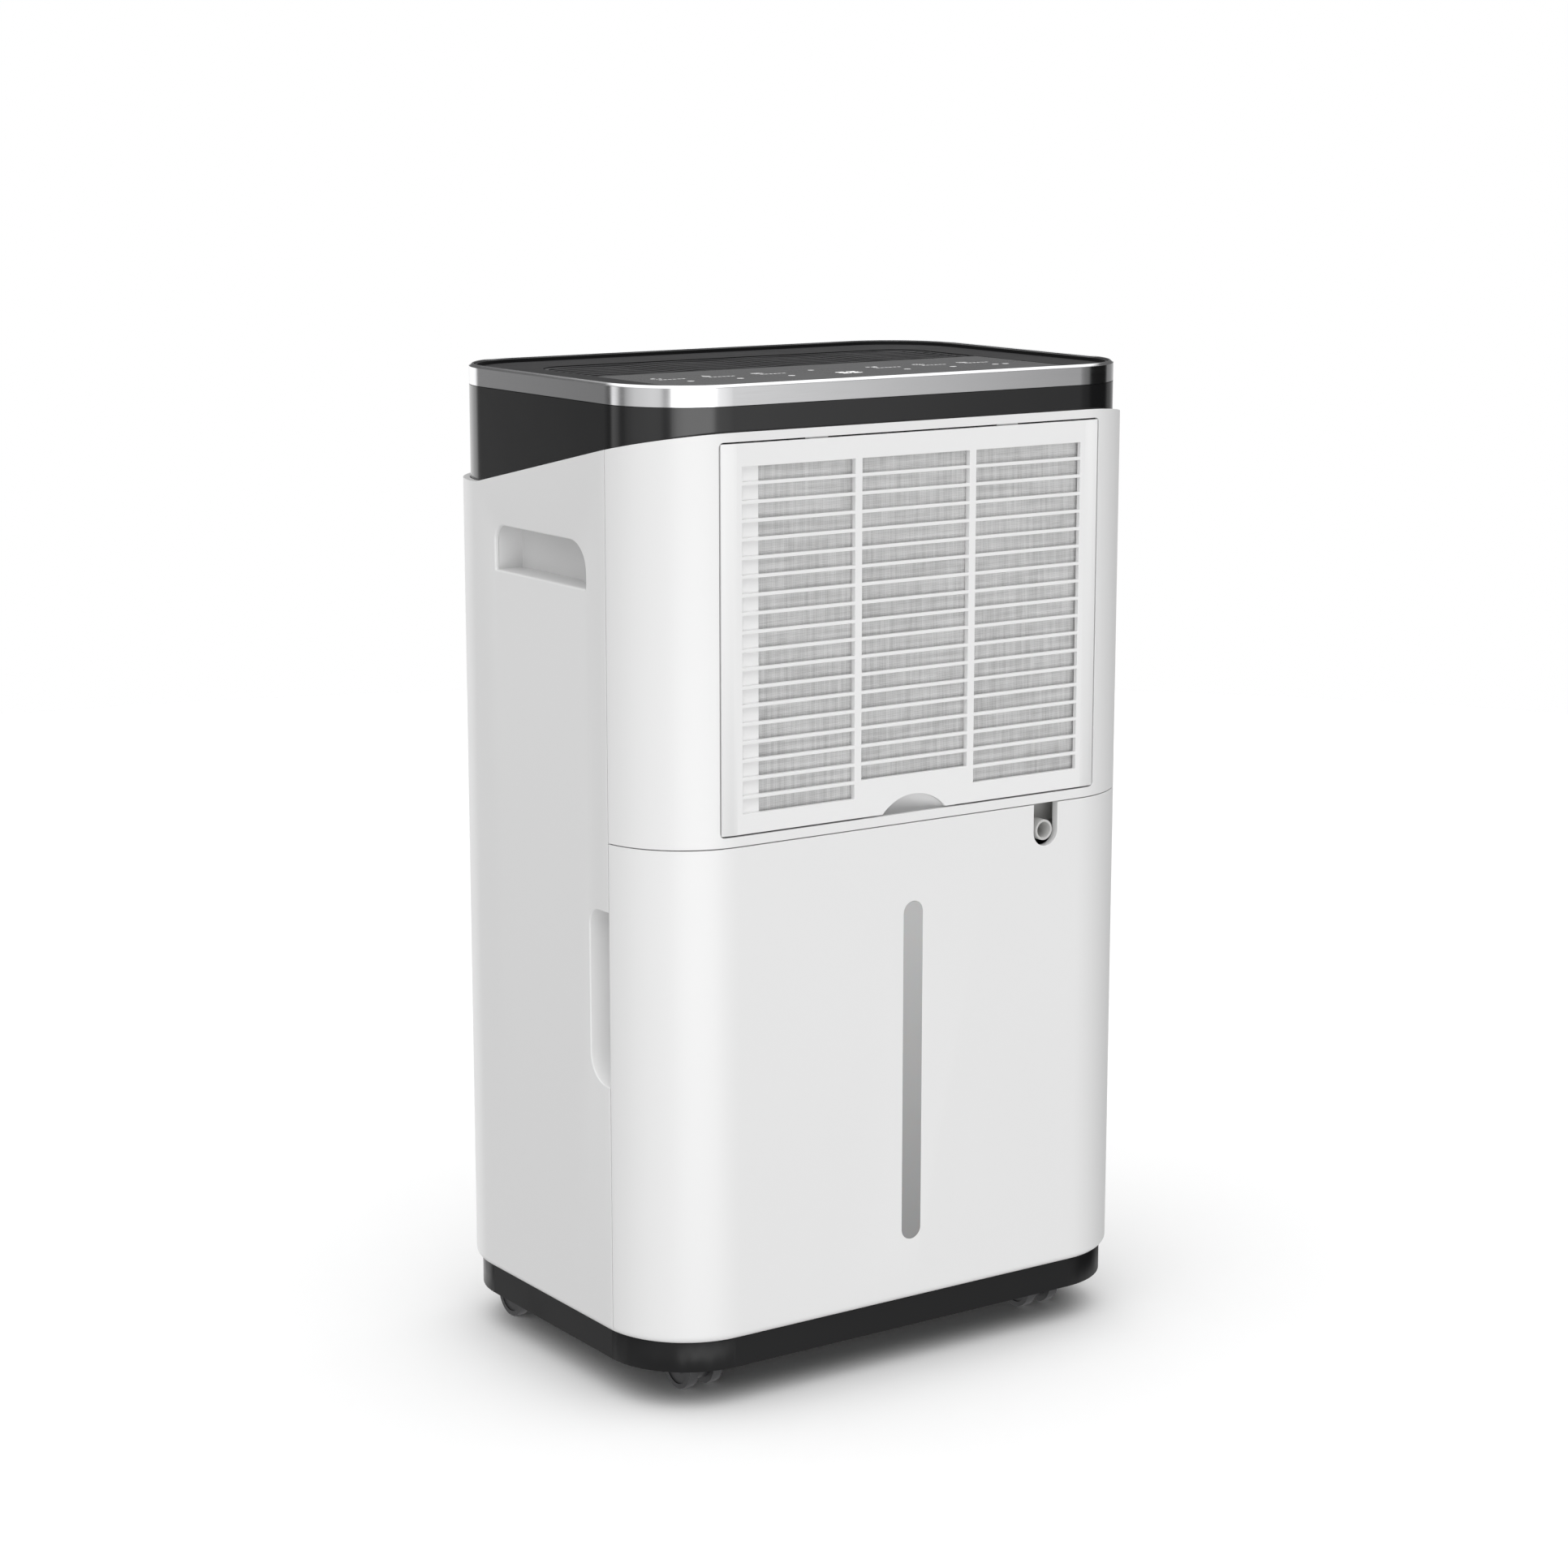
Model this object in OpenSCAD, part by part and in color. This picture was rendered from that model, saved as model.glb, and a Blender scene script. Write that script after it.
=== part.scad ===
// Portable dehumidifier on casters, with a pull-out water bucket under a front air filter.
// Units are millimetres. Z is up, the floor is Z = 0, the front faces -Y and the origin is
// under the centre of the body.

/* [Body] */
// Width of the white body, side to side
body_w = 372; // [366:1:380]
// Depth of the white body, front to rear
body_d = 260; // [258:1:266]
// Height from the floor to the silver rim
body_h = 615; // [613:0.5:618]
// Plan radius of the four vertical corners
corner_r = 58; // [54:1:60]
// Wall of the white mouldings
shell_t = 2.6; // [2.2:0.1:3]

/* [Base and shoulder] */
// Height of the underside of the base pan
base_z = 23.7; // [23:0.1:24.5]
// Height at which the white body starts
white_z = 42.3; // [41.5:0.1:43]
// How far the base pan stands in from the white body
base_inset = 3.8; // [3.4:0.1:4.4]
// Top of the white body at the front
shoulder_front_z = 588; // [586:0.5:590]
// Top of the white body at the rear
shoulder_rear_z = 545; // [543:0.5:550]
// Where the sloping shoulder meets the level rear part
shoulder_y = 72; // [66:1:78]
// How far the black surround stands in from the white body
top_inset = 4.6; // [4.2:0.1:5]
// Height of the silver trim
trim_h = 12.5; // [11:0.5:14]

/* [Seams and openings] */
// Seam between the rear housing and the front mouldings
seam_y = -78.6; // [-80:0.2:-76]
// Seam between the bucket front and the front panel
seam_z = 345.4; // [344:0.2:347]
// Width of a seam
seam_gap = 0.6; // [0.4:0.1:1]
// Half width of the filter opening
filter_x = 139.5; // [138:0.5:140]
// Bottom of the filter opening
filter_z0 = 351.6; // [351:0.2:353]
// Top of the filter opening
filter_z1 = 582.5; // [581:0.5:583]

/* [Filter grille] */
// Rows of air slots
slot_rows = 19; // [15:1:19]
// Height of one slot
slot_h = 8.9; // [7:0.1:9.2]
// Distance from one row to the next
slot_pitch = 10.81; // [10.5:0.01:10.9]
// Top of the first row
slot_top_z = 568.1; // [566:0.1:569]

/* [Bucket] */
// Half width of the tub
tub_x = 160; // [150:1:162]
// Top of the tub
tub_top = 280; // [270:1:282]
// Wall of the tub
tub_t = 2; // [1.6:0.1:2.6]
// Height of the level window
window_h = 214.8; // [180:1:220]
// Distance from the handle's pivot to the middle of its bar
handle_arm = 32; // [26:1:33]

/* [Casters] */
// Radius of a caster wheel
wheel_r = 15; // [14:0.5:15]
// Distance from the swivel axis to the wheel axis
trail = 7; // [6:0.5:8]

/* [Coils and fan] */
// Fins on each coil
fin_count = 25; // [15:1:31]
// Tube rows in each coil
tube_rows = 8; // [4:2:8]
// Radius of the fan impeller
fan_r = 74; // [60:1:76]
// Blades of the fan impeller
blade_count = 30; // [16:2:36]

/* [Hidden] */
$fn = 64;

white = "gainsboro";
black = "dimgray";
front_y = -body_d / 2;
rear_y = body_d / 2;
side_x = body_w / 2;
trim_z = body_h - trim_h;
lip_t = 3;
lip_inset = base_inset + 2.4;
front_seam_y = seam_y - seam_gap / 2;
rear_seam_y = seam_y + seam_gap / 2;
fit_gap = 0.3;
far = 400;

// ---- plain shapes ----

// Rectangle with rounded corners about the origin
module round_rect(w, d, r) {
    square([w - 2 * r, d], center = true);
    square([w, d - 2 * r], center = true);
    for (sx = [-1, 1], sy = [-1, 1])
        translate([sx * (w / 2 - r), sy * (d / 2 - r)])
            circle(r = r);
}

// Plan outline of the body, drawn in by an inset, from z0 to z1
module slab(inset, z0, z1) {
    translate([0, 0, z0])
        linear_extrude(z1 - z0)
            round_rect(body_w - 2 * inset, body_d - 2 * inset, corner_r - inset);
}

// Box from its lowest and highest corners
module box(a, b) {
    translate(a)
        cube(b - a);
}

// 2-D rectangle from its lowest and highest corners
module square_from(a, b) {
    translate(a)
        square(b - a);
}

// 2-D child drawn as (y, z), filling x0 to x1
module yz_prism(x0, x1) {
    translate([x0, 0, 0])
        rotate([90, 0, 90])
            linear_extrude(x1 - x0)
                children();
}

// 2-D child drawn as (x, z), filling y0 to y1
module xz_prism(y0, y1) {
    translate([0, y1, 0])
        rotate([90, 0, 0])
            linear_extrude(y1 - y0)
                children();
}

module rod_x(x0, x1, y, z, r) {
    translate([x0, y, z])
        rotate([0, 90, 0])
            cylinder(h = x1 - x0, r = r);
}

module rod_y(y0, y1, x, z, r) {
    translate([x, y1, z])
        rotate([90, 0, 0])
            cylinder(h = y1 - y0, r = r);
}

module rod_z(z0, z1, x, y, r) {
    translate([x, y, z0])
        cylinder(h = z1 - z0, r = r);
}

// Child kept on the right (s = 1) or mirrored to the left (s = -1)
module on_side(s) {
    mirror([s < 0 ? 1 : 0, 0, 0])
        children();
}

// Round pipe through a list of points, with a ball at each corner
module pipe(points, r) {
    for (i = [0 : len(points) - 2]) {
        v = points[i + 1] - points[i];
        turn_z = atan2(v[1], v[0]);
        turn_y = atan2(norm([v[0], v[1]]), v[2]);
        translate(points[i])
            rotate([0, turn_y, turn_z])
                cylinder(h = norm(v), r = r, $fn = 32);
    }
    for (i = [1 : len(points) - 2])
        translate(points[i])
            sphere(r = r, $fn = 32);
}

// ---- white body ----

// Side view of the body under its sloping shoulder
module body_profile() {
    polygon([[-far, 0], [far, 0], [far, shoulder_rear_z], [shoulder_y, shoulder_rear_z],
        [front_y, shoulder_front_z], [-far, shoulder_front_z]]);
}

// Whole white shell before it is split at the seams
module white_shell() {
    difference() {
        intersection() {
            slab(0, white_z, shoulder_front_z);
            yz_prism(-far, far)
                body_profile();
        }
        intersection() {
            slab(shell_t, white_z + lip_t, body_h);
            translate([0, 0, -lip_t])
                yz_prism(-far, far)
                    body_profile();
        }
        slab(top_inset - fit_gap, white_z + lip_t, body_h);
        slab(lip_inset, 0, body_h);
    }
}

grip_y0 = -57;
grip_y1 = 49;
grip_z0 = 493.5;
grip_z1 = 521.2;
grip_front_r = 18;
grip_rear_r = 10;

// Outline of the hand grip, with its two upper corners rounded
module grip_outline() {
    polygon([[grip_y0, grip_z0], [grip_y1, grip_z0], [grip_y1, grip_z1 - grip_rear_r],
        [grip_y1 - grip_rear_r, grip_z1], [grip_y0 + grip_front_r, grip_z1],
        [grip_y0, grip_z1 - grip_front_r]]);
    intersection() {
        union() {
            translate([grip_y1 - grip_rear_r, grip_z1 - grip_rear_r])
                circle(r = grip_rear_r);
            translate([grip_y0 + grip_front_r, grip_z1 - grip_front_r])
                circle(r = grip_front_r);
        }
        square_from([grip_y0, grip_z0], [grip_y1, grip_z1]);
    }
}

pull_y = -57.4;
pull_z0 = 196.6;
pull_z1 = 303.4;
pull_depth = 14.5;
pull_low_r = 18;
pull_high_r = 10;
pull_t = 2;

// Outline of the finger pocket behind the edge of the bucket front
module pull_outline(y0, grow) {
    y1 = pull_y + grow;
    z0 = pull_z0 - grow;
    z1 = pull_z1 + grow;
    low_r = pull_low_r + grow;
    high_r = pull_high_r + grow;
    polygon([[y0, z0], [y1 - low_r, z0], [y1, z0 + low_r], [y1, z1 - high_r], [y1 - high_r, z1],
        [y0, z1]]);
    intersection() {
        union() {
            translate([y1 - low_r, z0 + low_r])
                circle(r = low_r);
            translate([y1 - high_r, z1 - high_r])
                circle(r = high_r);
        }
        square_from([y0, z0], [y1, z1]);
    }
}

gland_x = -120;
gland_z = 75;
gland_r = 9;
screw_x = 100;
screw_z = 60;
screw_r = 1.9;
screw_head_r = 4;
screw_head_t = 1.3;
cord_r = 4;

cup_t = 2;
cup_back = side_x - 19;
cup_top = 535.5;
collar_t = 1.6;

// Box around a grip cup, drawn out by a margin
module cup_block(x0, x1, margin) {
    box([x0, grip_y0 - margin, grip_z0 - margin], [x1, grip_y1 + margin, cup_top + margin]);
}

// Socket wall inside the shell that a grip cup sits in
module grip_collar() {
    inner = cup_t + fit_gap;
    difference() {
        cup_block(cup_back + 1, side_x - shell_t / 2, inner + collar_t);
        cup_block(cup_back, side_x, inner);
    }
}

module rear_housing() {
    color(white)
        difference() {
            union() {
                intersection() {
                    white_shell();
                    box([-far, rear_seam_y, 0], [far, far, body_h]);
                }
                for (s = [-1, 1])
                    on_side(s) {
                        yz_prism(side_x - pull_depth - pull_t, side_x - shell_t)
                            pull_outline(rear_seam_y, pull_t);
                        grip_collar();
                    }
            }
            for (s = [-1, 1])
                on_side(s) {
                    yz_prism(side_x - pull_depth, side_x + 5)
                        pull_outline(rear_seam_y - 1, 0);
                    yz_prism(side_x - shell_t - 1, side_x + 5)
                        grip_outline();
                }
            rod_y(rear_y - 30, rear_y + 1, gland_x, gland_z, gland_r + 0.05);
            for (s = [-1, 1]) {
                rod_y(rear_y - 30, rear_y + 1, s * screw_x, screw_z, screw_r + 0.1);
                rod_y(rear_y - screw_head_t - 0.1, rear_y + 1, s * screw_x, screw_z, screw_head_r + 0.2);
            }
        }
}

flange_w = 14;
flange_t = 2.4;
flange_top = 555;
panel_rib_y = front_y + 16;
panel_rib_top = 576;
scoop_block_x = 34;
scoop_block_top = filter_z0 + 18;
scoop_r = 36;
scoop_y = front_y - 22;

// Return flange along the rear edges of a front moulding
module edge_flanges(z0, z1) {
    intersection() {
        slab(shell_t / 2, z0, z1);
        for (s = [-1, 1])
            on_side(s)
                box([side_x - flange_w, front_seam_y - flange_t, z0], [side_x, front_seam_y, z1]);
    }
}

module front_panel() {
    low = seam_z + seam_gap / 2;
    color(white)
        difference() {
            union() {
                intersection() {
                    white_shell();
                    box([-far, -far, low], [far, front_seam_y, body_h]);
                }
                edge_flanges(low, flange_top);
                for (s = [-1, 1])
                    on_side(s)
                        box([filter_x + 0.6, front_y + 3.2, low],
                            [filter_x + 3, panel_rib_y, panel_rib_top]);
                box([-filter_x - 2, front_y + 1, low], [filter_x + 2, panel_rib_y, low + 2.4]);
                box([-scoop_block_x, front_y + 4.4, low + 1],
                    [scoop_block_x, panel_rib_y, scoop_block_top]);
            }
            box([-filter_x, front_y - 5, filter_z0], [filter_x, front_y + 4, filter_z1]);
            intersection() {
                translate([0, scoop_y, filter_z0 + 2])
                    sphere(r = scoop_r);
                box([-scoop_r, front_y - 5, filter_z0], [scoop_r, far, body_h]);
            }
        }
}

// ---- filter ----

notch_chord = 48.8;
notch_h = 11.4;
notch_r = (notch_chord * notch_chord / 4 + notch_h * notch_h) / (2 * notch_h);
frame_gap = 1;
skin_t = 3;
column_edges = [[-124.4, -44.5], [-39.5, 39.5], [44.5, 124.4]];
carrier_x = 137;
carrier_y0 = front_y + 2.4;
carrier_y1 = front_y + 7.6;
net_y = front_y + 5;
net_low = [-111.5, filter_z0 + 8];
net_high = [128, filter_z1 - 12];
net_t = 0.5;
net_rib_x = 42;
net_rib_w = 4;
hook_x = 70;
hook_w = 16;
hook_y = [front_y + 3, front_y + 3.9];
hook_z = [filter_z1 - 9, filter_z1 + 1.3];
cutout_x = 38;
cutout_z = filter_z0 + 20;

module slot_column(x0, x1, rows) {
    for (i = [0 : rows - 1]) {
        top = slot_top_z - i * slot_pitch;
        box([x0, front_y - 5, top - slot_h], [x1, front_y + 10, top]);
    }
}

// Flat frame behind the grille that holds the net, cut away around the thumb scoop
module net_carrier() {
    difference() {
        box([-carrier_x, carrier_y0, filter_z0 + 3], [carrier_x, carrier_y1, filter_z1 - 6]);
        box([net_low[0], front_y, net_low[1]], [net_high[0], front_y + 12, net_high[1]]);
        box([-cutout_x, front_y, 0], [cutout_x, front_y + 12, cutout_z]);
    }
    for (s = [-1, 1])
        on_side(s)
            box([net_rib_x - net_rib_w / 2, carrier_y0, net_low[1] - 1],
                [net_rib_x + net_rib_w / 2, net_y - 0.2, net_high[1] + 1]);
}

module filter_frame() {
    color(white)
        difference() {
            union() {
                difference() {
                    intersection() {
                        difference() {
                            slab(0, filter_z0 + frame_gap, filter_z1 - frame_gap);
                            slab(skin_t, filter_z0 - 1, filter_z1 + 1);
                        }
                        box([-filter_x + frame_gap, front_y - 1, 0],
                            [filter_x - frame_gap, front_y + 10, body_h]);
                    }
                    slot_column(column_edges[0][0], column_edges[0][1], slot_rows);
                    slot_column(column_edges[1][0], column_edges[1][1], slot_rows - 1);
                    slot_column(column_edges[2][0], column_edges[2][1], slot_rows);
                }
                net_carrier();
                for (s = [-1, 1])
                    on_side(s)
                        box([hook_x - hook_w / 2, hook_y[0], hook_z[0]],
                            [hook_x + hook_w / 2, hook_y[1], hook_z[1]]);
            }
            rod_y(front_y - 5, front_y + 20, 0, filter_z0 + notch_h - notch_r, notch_r);
        }
}

module filter_mesh() {
    color("silver")
        difference() {
            box([net_low[0] + 0.2, net_y, net_low[1] + 0.2],
                [net_high[0] - 0.2, net_y + net_t, net_high[1] - 0.2]);
            box([-cutout_x - 2.2, front_y, 0], [cutout_x + 2.2, front_y + 10, cutout_z + 2.2]);
        }
}

// ---- black and silver top ----

lip_z = body_h - 0.8;
lip_in = top_inset + 3.3;
recess_in = top_inset + 5;
deck_z = 611.9;
plate_z = 606;
island_x = 143;
island_y0 = -104;
island_y1 = 79;
island_r = 24;
panel_y1 = 0;
panel_t = 2;
panel_z = deck_z - 0.1;
grille_y0 = panel_y1 + 2.2;
grille_z0 = 603;
grille_z1 = deck_z - 0.6;
display_y = -66;
board_y = [-96, -48];
board_z = 601;
board_t = 1.6;

// Plan of the area with the louvres and the control panel, drawn out by a margin
module island(margin) {
    x = island_x + margin;
    y = island_y1 + margin;
    r = island_r + margin;
    square_from([-x, island_y0 - margin], [x, y - r]);
    square_from([r - x, 0], [x - r, y]);
    for (s = [-1, 1])
        translate([s * (x - r), y - r])
            circle(r = r);
}

// Part of that plan between two depths, from z0 to z1
module island_slab(margin, y0, y1, z0, z1) {
    translate([0, 0, z0])
        linear_extrude(z1 - z0)
            intersection() {
                island(margin);
                square_from([-far, y0], [far, y1]);
            }
}

module top_surround() {
    color(black)
        difference() {
            union() {
                slab(top_inset, shoulder_rear_z - 12, trim_z - 0.2);
                slab(lip_in, trim_z - 1, lip_z);
            }
            slab(top_inset + 2.6, 0, plate_z - 6);
            slab(top_inset + 6, 0, plate_z);
            translate([0, 0, -9])
                yz_prism(-far, far)
                    body_profile();
            slab(recess_in, deck_z, body_h);
            island_slab(0, grille_y0, far, 0, body_h);
            island_slab(0, -far, panel_y1 + fit_gap, panel_z - panel_t - fit_gap, body_h);
            box([-20, display_y - 10, 0], [20, display_y + 10, body_h]);
        }
}

module silver_trim() {
    color("silver")
        difference() {
            slab(top_inset, trim_z, body_h);
            slab(top_inset + 3, trim_z - 1, body_h + 1);
        }
}

module control_panel() {
    color("gray")
        island_slab(-0.4, -far, panel_y1, panel_z - panel_t, panel_z);
}

module control_board() {
    x = 125;
    top = board_z + board_t;
    color("seagreen")
        box([-x, board_y[0], board_z], [x, board_y[1], top]);
    color("black") {
        box([-16, display_y - 6, top + 0.2], [16, display_y + 6, top + 3]);
        for (key_x = [-100, -70, -45, 45, 70, 100])
            rod_z(top + 0.2, top + 2.4, key_x, display_y, 4);
        for (s = [-1, 1], y = board_y)
            rod_z(top, plate_z - 0.1, s * (x - 7), y - sign(y - display_y) * 6, 3);
    }
}

wave_steps = 48;
wave_length = 71;
wave_height = 3;
louvre_pitch = 8.6;
louvre_count = 8;
louvre_t = 2.6;

// One wavy louvre, drawn in plan
module wavy_bar(y) {
    xs = [for (i = [0 : wave_steps]) island_x * (2 * i / wave_steps - 1)];
    low = [for (x = xs) [x, y - louvre_t / 2 + wave_height * sin(360 * x / wave_length)]];
    high = [for (i = [wave_steps : -1 : 0]) low[i] + [0, louvre_t]];
    polygon(concat(low, high));
}

module outlet_grille() {
    y0 = grille_y0 + fit_gap;
    rib_top = grille_z0 + 5;
    color(black) {
        difference() {
            island_slab(-fit_gap, y0, far, grille_z0, grille_z1);
            island_slab(-3, y0 + 2.7, far, 0, body_h);
        }
        intersection() {
            translate([0, 0, grille_z0 + 1])
                linear_extrude(grille_z1 - grille_z0 - 1.4)
                    for (i = [0 : louvre_count - 1])
                        wavy_bar(grille_y0 + 8.2 + i * louvre_pitch);
            island_slab(-2.9, y0, far, 0, body_h);
        }
        intersection() {
            for (x = [-95, -48, 0, 48, 95])
                box([x - 1.2, y0, grille_z0], [x + 1.2, far, rib_top]);
            island_slab(-2.9, y0 + 1, far, 0, body_h);
        }
    }
}

// ---- hand grips and screws ----

grip_screw_y = -32;
grip_screw_z = 510;

module grip_cup() {
    difference() {
        cup_block(cup_back - cup_t, side_x - shell_t - 0.2, cup_t);
        cup_block(cup_back, side_x, 0);
        rod_x(cup_back - 5, cup_back + 5, grip_screw_y, grip_screw_z, screw_r + 0.1);
    }
}

module grip_cup_right() {
    color(white)
        grip_cup();
}

module grip_cup_left() {
    color(white)
        on_side(-1)
            grip_cup();
}

cross_w = 4.4;
cross_t = 0.9;
cross_depth = 0.8;

module screw_y(x) {
    difference() {
        union() {
            rod_y(rear_y - screw_head_t, rear_y - 0.2, x, screw_z, screw_head_r);
            rod_y(rear_y - 12, rear_y - 1, x, screw_z, screw_r);
        }
        for (a = [0, 90])
            translate([x, rear_y, screw_z])
                rotate([0, a, 0])
                    cube([cross_w, 2 * cross_depth - 0.2, cross_t], center = true);
    }
}

module screw_side() {
    difference() {
        union() {
            rod_x(cup_back + 0.1, cup_back + 2.1, grip_screw_y, grip_screw_z, screw_head_r - 0.4);
            rod_x(cup_back - 9, cup_back + 0.2, grip_screw_y, grip_screw_z, screw_r);
        }
        for (a = [0, 90])
            translate([cup_back + 2, grip_screw_y, grip_screw_z])
                rotate([a, 0, 0])
                    cube([2 * cross_depth, cross_w, cross_t], center = true);
    }
}

module housing_screws() {
    color("silver") {
        for (s = [-1, 1]) {
            screw_y(s * screw_x);
            on_side(s)
                screw_side();
        }
    }
}

// ---- base, partition and drip tray ----

front_caster = [131, -90];
rear_caster = [150, 80];
pocket_r = 24.5;
pocket_top = 33;
stem_r = 4;
boss_top = 45.8;
compressor_x = 75;
compressor_y = 68;
foot_r = 58;
foot_angles = [30, 150, 270];
foot_top = 40;
foot_post_r = 7;
stud_r = 3;
stud_z = 30;
pan_t = 3;
hub_r = 8;
tab_z = 70;
runner_x = 60;
runner_top = 47.6;

module at_casters() {
    for (s = [-1, 1]) {
        translate([s * front_caster[0], front_caster[1], 0])
            children();
        translate([s * rear_caster[0], rear_caster[1], 0])
            children();
    }
}

module at_feet() {
    for (a = foot_angles)
        translate([compressor_x + foot_r * cos(a), compressor_y + foot_r * sin(a), 0])
            children();
}

module base_pan() {
    color(black)
        difference() {
            union() {
                difference() {
                    slab(base_inset, base_z, white_z - fit_gap);
                    slab(base_inset + pan_t, base_z + pan_t, body_h);
                }
                at_casters() {
                    rod_z(base_z, pocket_top + 3, 0, 0, pocket_r + 2.5);
                    rod_z(pocket_top, boss_top, 0, 0, hub_r);
                }
                at_feet()
                    rod_z(base_z, foot_top, 0, 0, foot_post_r);
                for (s = [-1, 1])
                    on_side(s) {
                        box([screw_x - 6, rear_y - 12, base_z], [screw_x + 6, rear_y - 6.4, tab_z]);
                        box([runner_x - 2, -110, base_z], [runner_x + 2, -12, runner_top]);
                    }
            }
            at_casters() {
                rod_z(base_z - 1, pocket_top, 0, 0, pocket_r);
                rod_z(base_z, boss_top + 1, 0, 0, stem_r + 0.05);
            }
            at_feet()
                rod_z(stud_z, foot_top + 1, 0, 0, stud_r + 0.02);
            for (s = [-1, 1])
                rod_y(rear_y - 14, rear_y, s * screw_x, screw_z, screw_r + 0.02);
        }
}

shelf_z = 326.5;
spout_x = 101.6;
spout_z = 328;
spout_r = 6.5;
spout_bore = 5;
sump_half = 9;
drip_y = -94;
drip_r = 7.5;
shelf_t = 3;
shelf_x = 150;
shelf_y0 = -108;
wall_x = 172;
wall_y1 = 2.5;
tray_low = [-128, -111];
tray_high = [128, -46];
tray_h = 16;

module partition() {
    color("lightgray")
        difference() {
            union() {
                box([-wall_x, 0, base_z + pan_t + 0.2], [wall_x, wall_y1, shelf_z + shelf_t]);
                box([-shelf_x, shelf_y0, shelf_z], [shelf_x, wall_y1, shelf_z + shelf_t]);
            }
            box([spout_x - sump_half - 2, shelf_y0 - 12, shelf_z - 1],
                [spout_x + sump_half + 2, -89, shelf_z + shelf_t + 1]);
            rod_z(shelf_z - 1, shelf_z + shelf_t + 1, 0, drip_y, drip_r + 1.5);
        }
}

// Tray under the evaporator, with a drip pipe to the bucket and a sump with the hose spout
module drip_tray() {
    z0 = shelf_z + shelf_t + fit_gap;
    sump = sump_half - 2.5;
    color("lightgray")
        difference() {
            union() {
                difference() {
                    box([each tray_low, z0], [each tray_high, z0 + tray_h]);
                    box([tray_low[0] + 2, tray_low[1] + 2, z0 + 2],
                        [tray_high[0] - 2, tray_high[1] - 2, z0 + tray_h + 4]);
                }
                rod_z(shelf_z - 10.5, z0 + 1, 0, drip_y, drip_r);
                box([spout_x - sump_half, tray_low[1], spout_z - 8.5],
                    [spout_x + sump_half, -92, z0 + 2]);
                rod_y(front_y + 1.7, tray_low[1] + 1, spout_x, spout_z, spout_r);
            }
            rod_z(shelf_z - 12, z0 + 3, 0, drip_y, drip_r - 2);
            box([spout_x - sump, tray_low[1] + 2.5, spout_z - sump], [spout_x + sump, drip_y, z0 + 3]);
            rod_y(front_y, tray_low[1] + 3, spout_x, spout_z, spout_bore);
        }
}

// ---- refrigeration circuit ----

coil_x = 125;
coil_z0 = 351;
coil_z1 = 575;
tube_r = 3.6;
tube_z0 = 365;
tube_pitch = (coil_z1 - 11 - tube_z0) / (tube_rows - 1);
evap_y = -98;
cond_y = -66;
coil_d = 25;
fin_t = 0.6;
bend_x = coil_x + 3;
tube_z = function(i) tube_z0 + i * tube_pitch;

module fins(y) {
    for (i = [0 : fin_count - 1]) {
        x = -coil_x + 2 * coil_x * i / (fin_count - 1);
        difference() {
            box([x - fin_t / 2, y - coil_d / 2, coil_z0], [x + fin_t / 2, y + coil_d / 2, coil_z1]);
            for (k = [0 : tube_rows - 1])
                rod_x(x - 1, x + 1, y, tube_z(k), tube_r + 0.05);
        }
    }
}

// Serpentine tube: straight rows joined by half-ring bends, both ends at the right
module serpentine(y) {
    for (k = [0 : tube_rows - 1])
        rod_x(-bend_x, bend_x, y, tube_z(k), tube_r);
    for (k = [0 : tube_rows - 2]) {
        left = k % 2 == 0;
        translate([left ? -bend_x : bend_x, y, tube_z(k) + tube_pitch / 2])
            rotate([90, left ? -90 : 90, 0])
                rotate_extrude(angle = 180)
                    translate([tube_pitch / 2, 0])
                        circle(r = tube_r, $fn = 32);
    }
}

module evaporator_fins() {
    color("silver")
        fins(evap_y);
}

module evaporator_tubes() {
    color("peru")
        serpentine(evap_y);
}

module condenser_fins() {
    color("silver")
        fins(cond_y);
}

module condenser_tubes() {
    color("peru")
        serpentine(cond_y);
}

shell_r = 50;
shell_top = 240;
foot_z = 46.6;
foot_plate_t = 2.4;
cap_r = 15;
skirt_h = 12;
port_x = compressor_x - 18;

module compressor_shell() {
    color("black") {
        translate([compressor_x, compressor_y, 0])
            rotate_extrude() {
                square_from([0, foot_z], [shell_r - cap_r, shell_top]);
                square_from([0, foot_z + skirt_h], [shell_r, shell_top - cap_r]);
                translate([shell_r - cap_r, shell_top - cap_r])
                    circle(r = cap_r);
                square_from([0, foot_z], [shell_r - 6, foot_z + skirt_h]);
            }
        difference() {
            for (a = foot_angles)
                translate([compressor_x, compressor_y, foot_z])
                    rotate([0, 0, a])
                        box([20, -11, 0], [foot_r + 7, 11, foot_plate_t]);
            at_feet()
                rod_z(foot_z - 1, foot_z + 4, 0, 0, 4.6);
        }
    }
}

module compressor_grommets() {
    color("darkslategray")
        at_feet()
            difference() {
                union() {
                    rod_z(foot_top + 0.2, foot_z - 0.1, 0, 0, 6.8);
                    rod_z(foot_z - 0.1, foot_z + foot_plate_t + 0.1, 0, 0, 4.5);
                    rod_z(foot_z + foot_plate_t + 0.1, foot_z + 4.5, 0, 0, 6.5);
                }
                rod_z(foot_top - 1, foot_z + 6, 0, 0, stud_r + 0.1);
            }
}

module compressor_studs() {
    color("silver")
        at_feet() {
            rod_z(stud_z + 0.2, foot_z + 11, 0, 0, stud_r);
            rod_z(foot_z + 4.6, foot_z + 5.8, 0, 0, 6);
            translate([0, 0, foot_z + 5.8])
                cylinder(h = 4, r = 5, $fn = 6);
        }
}

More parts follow.
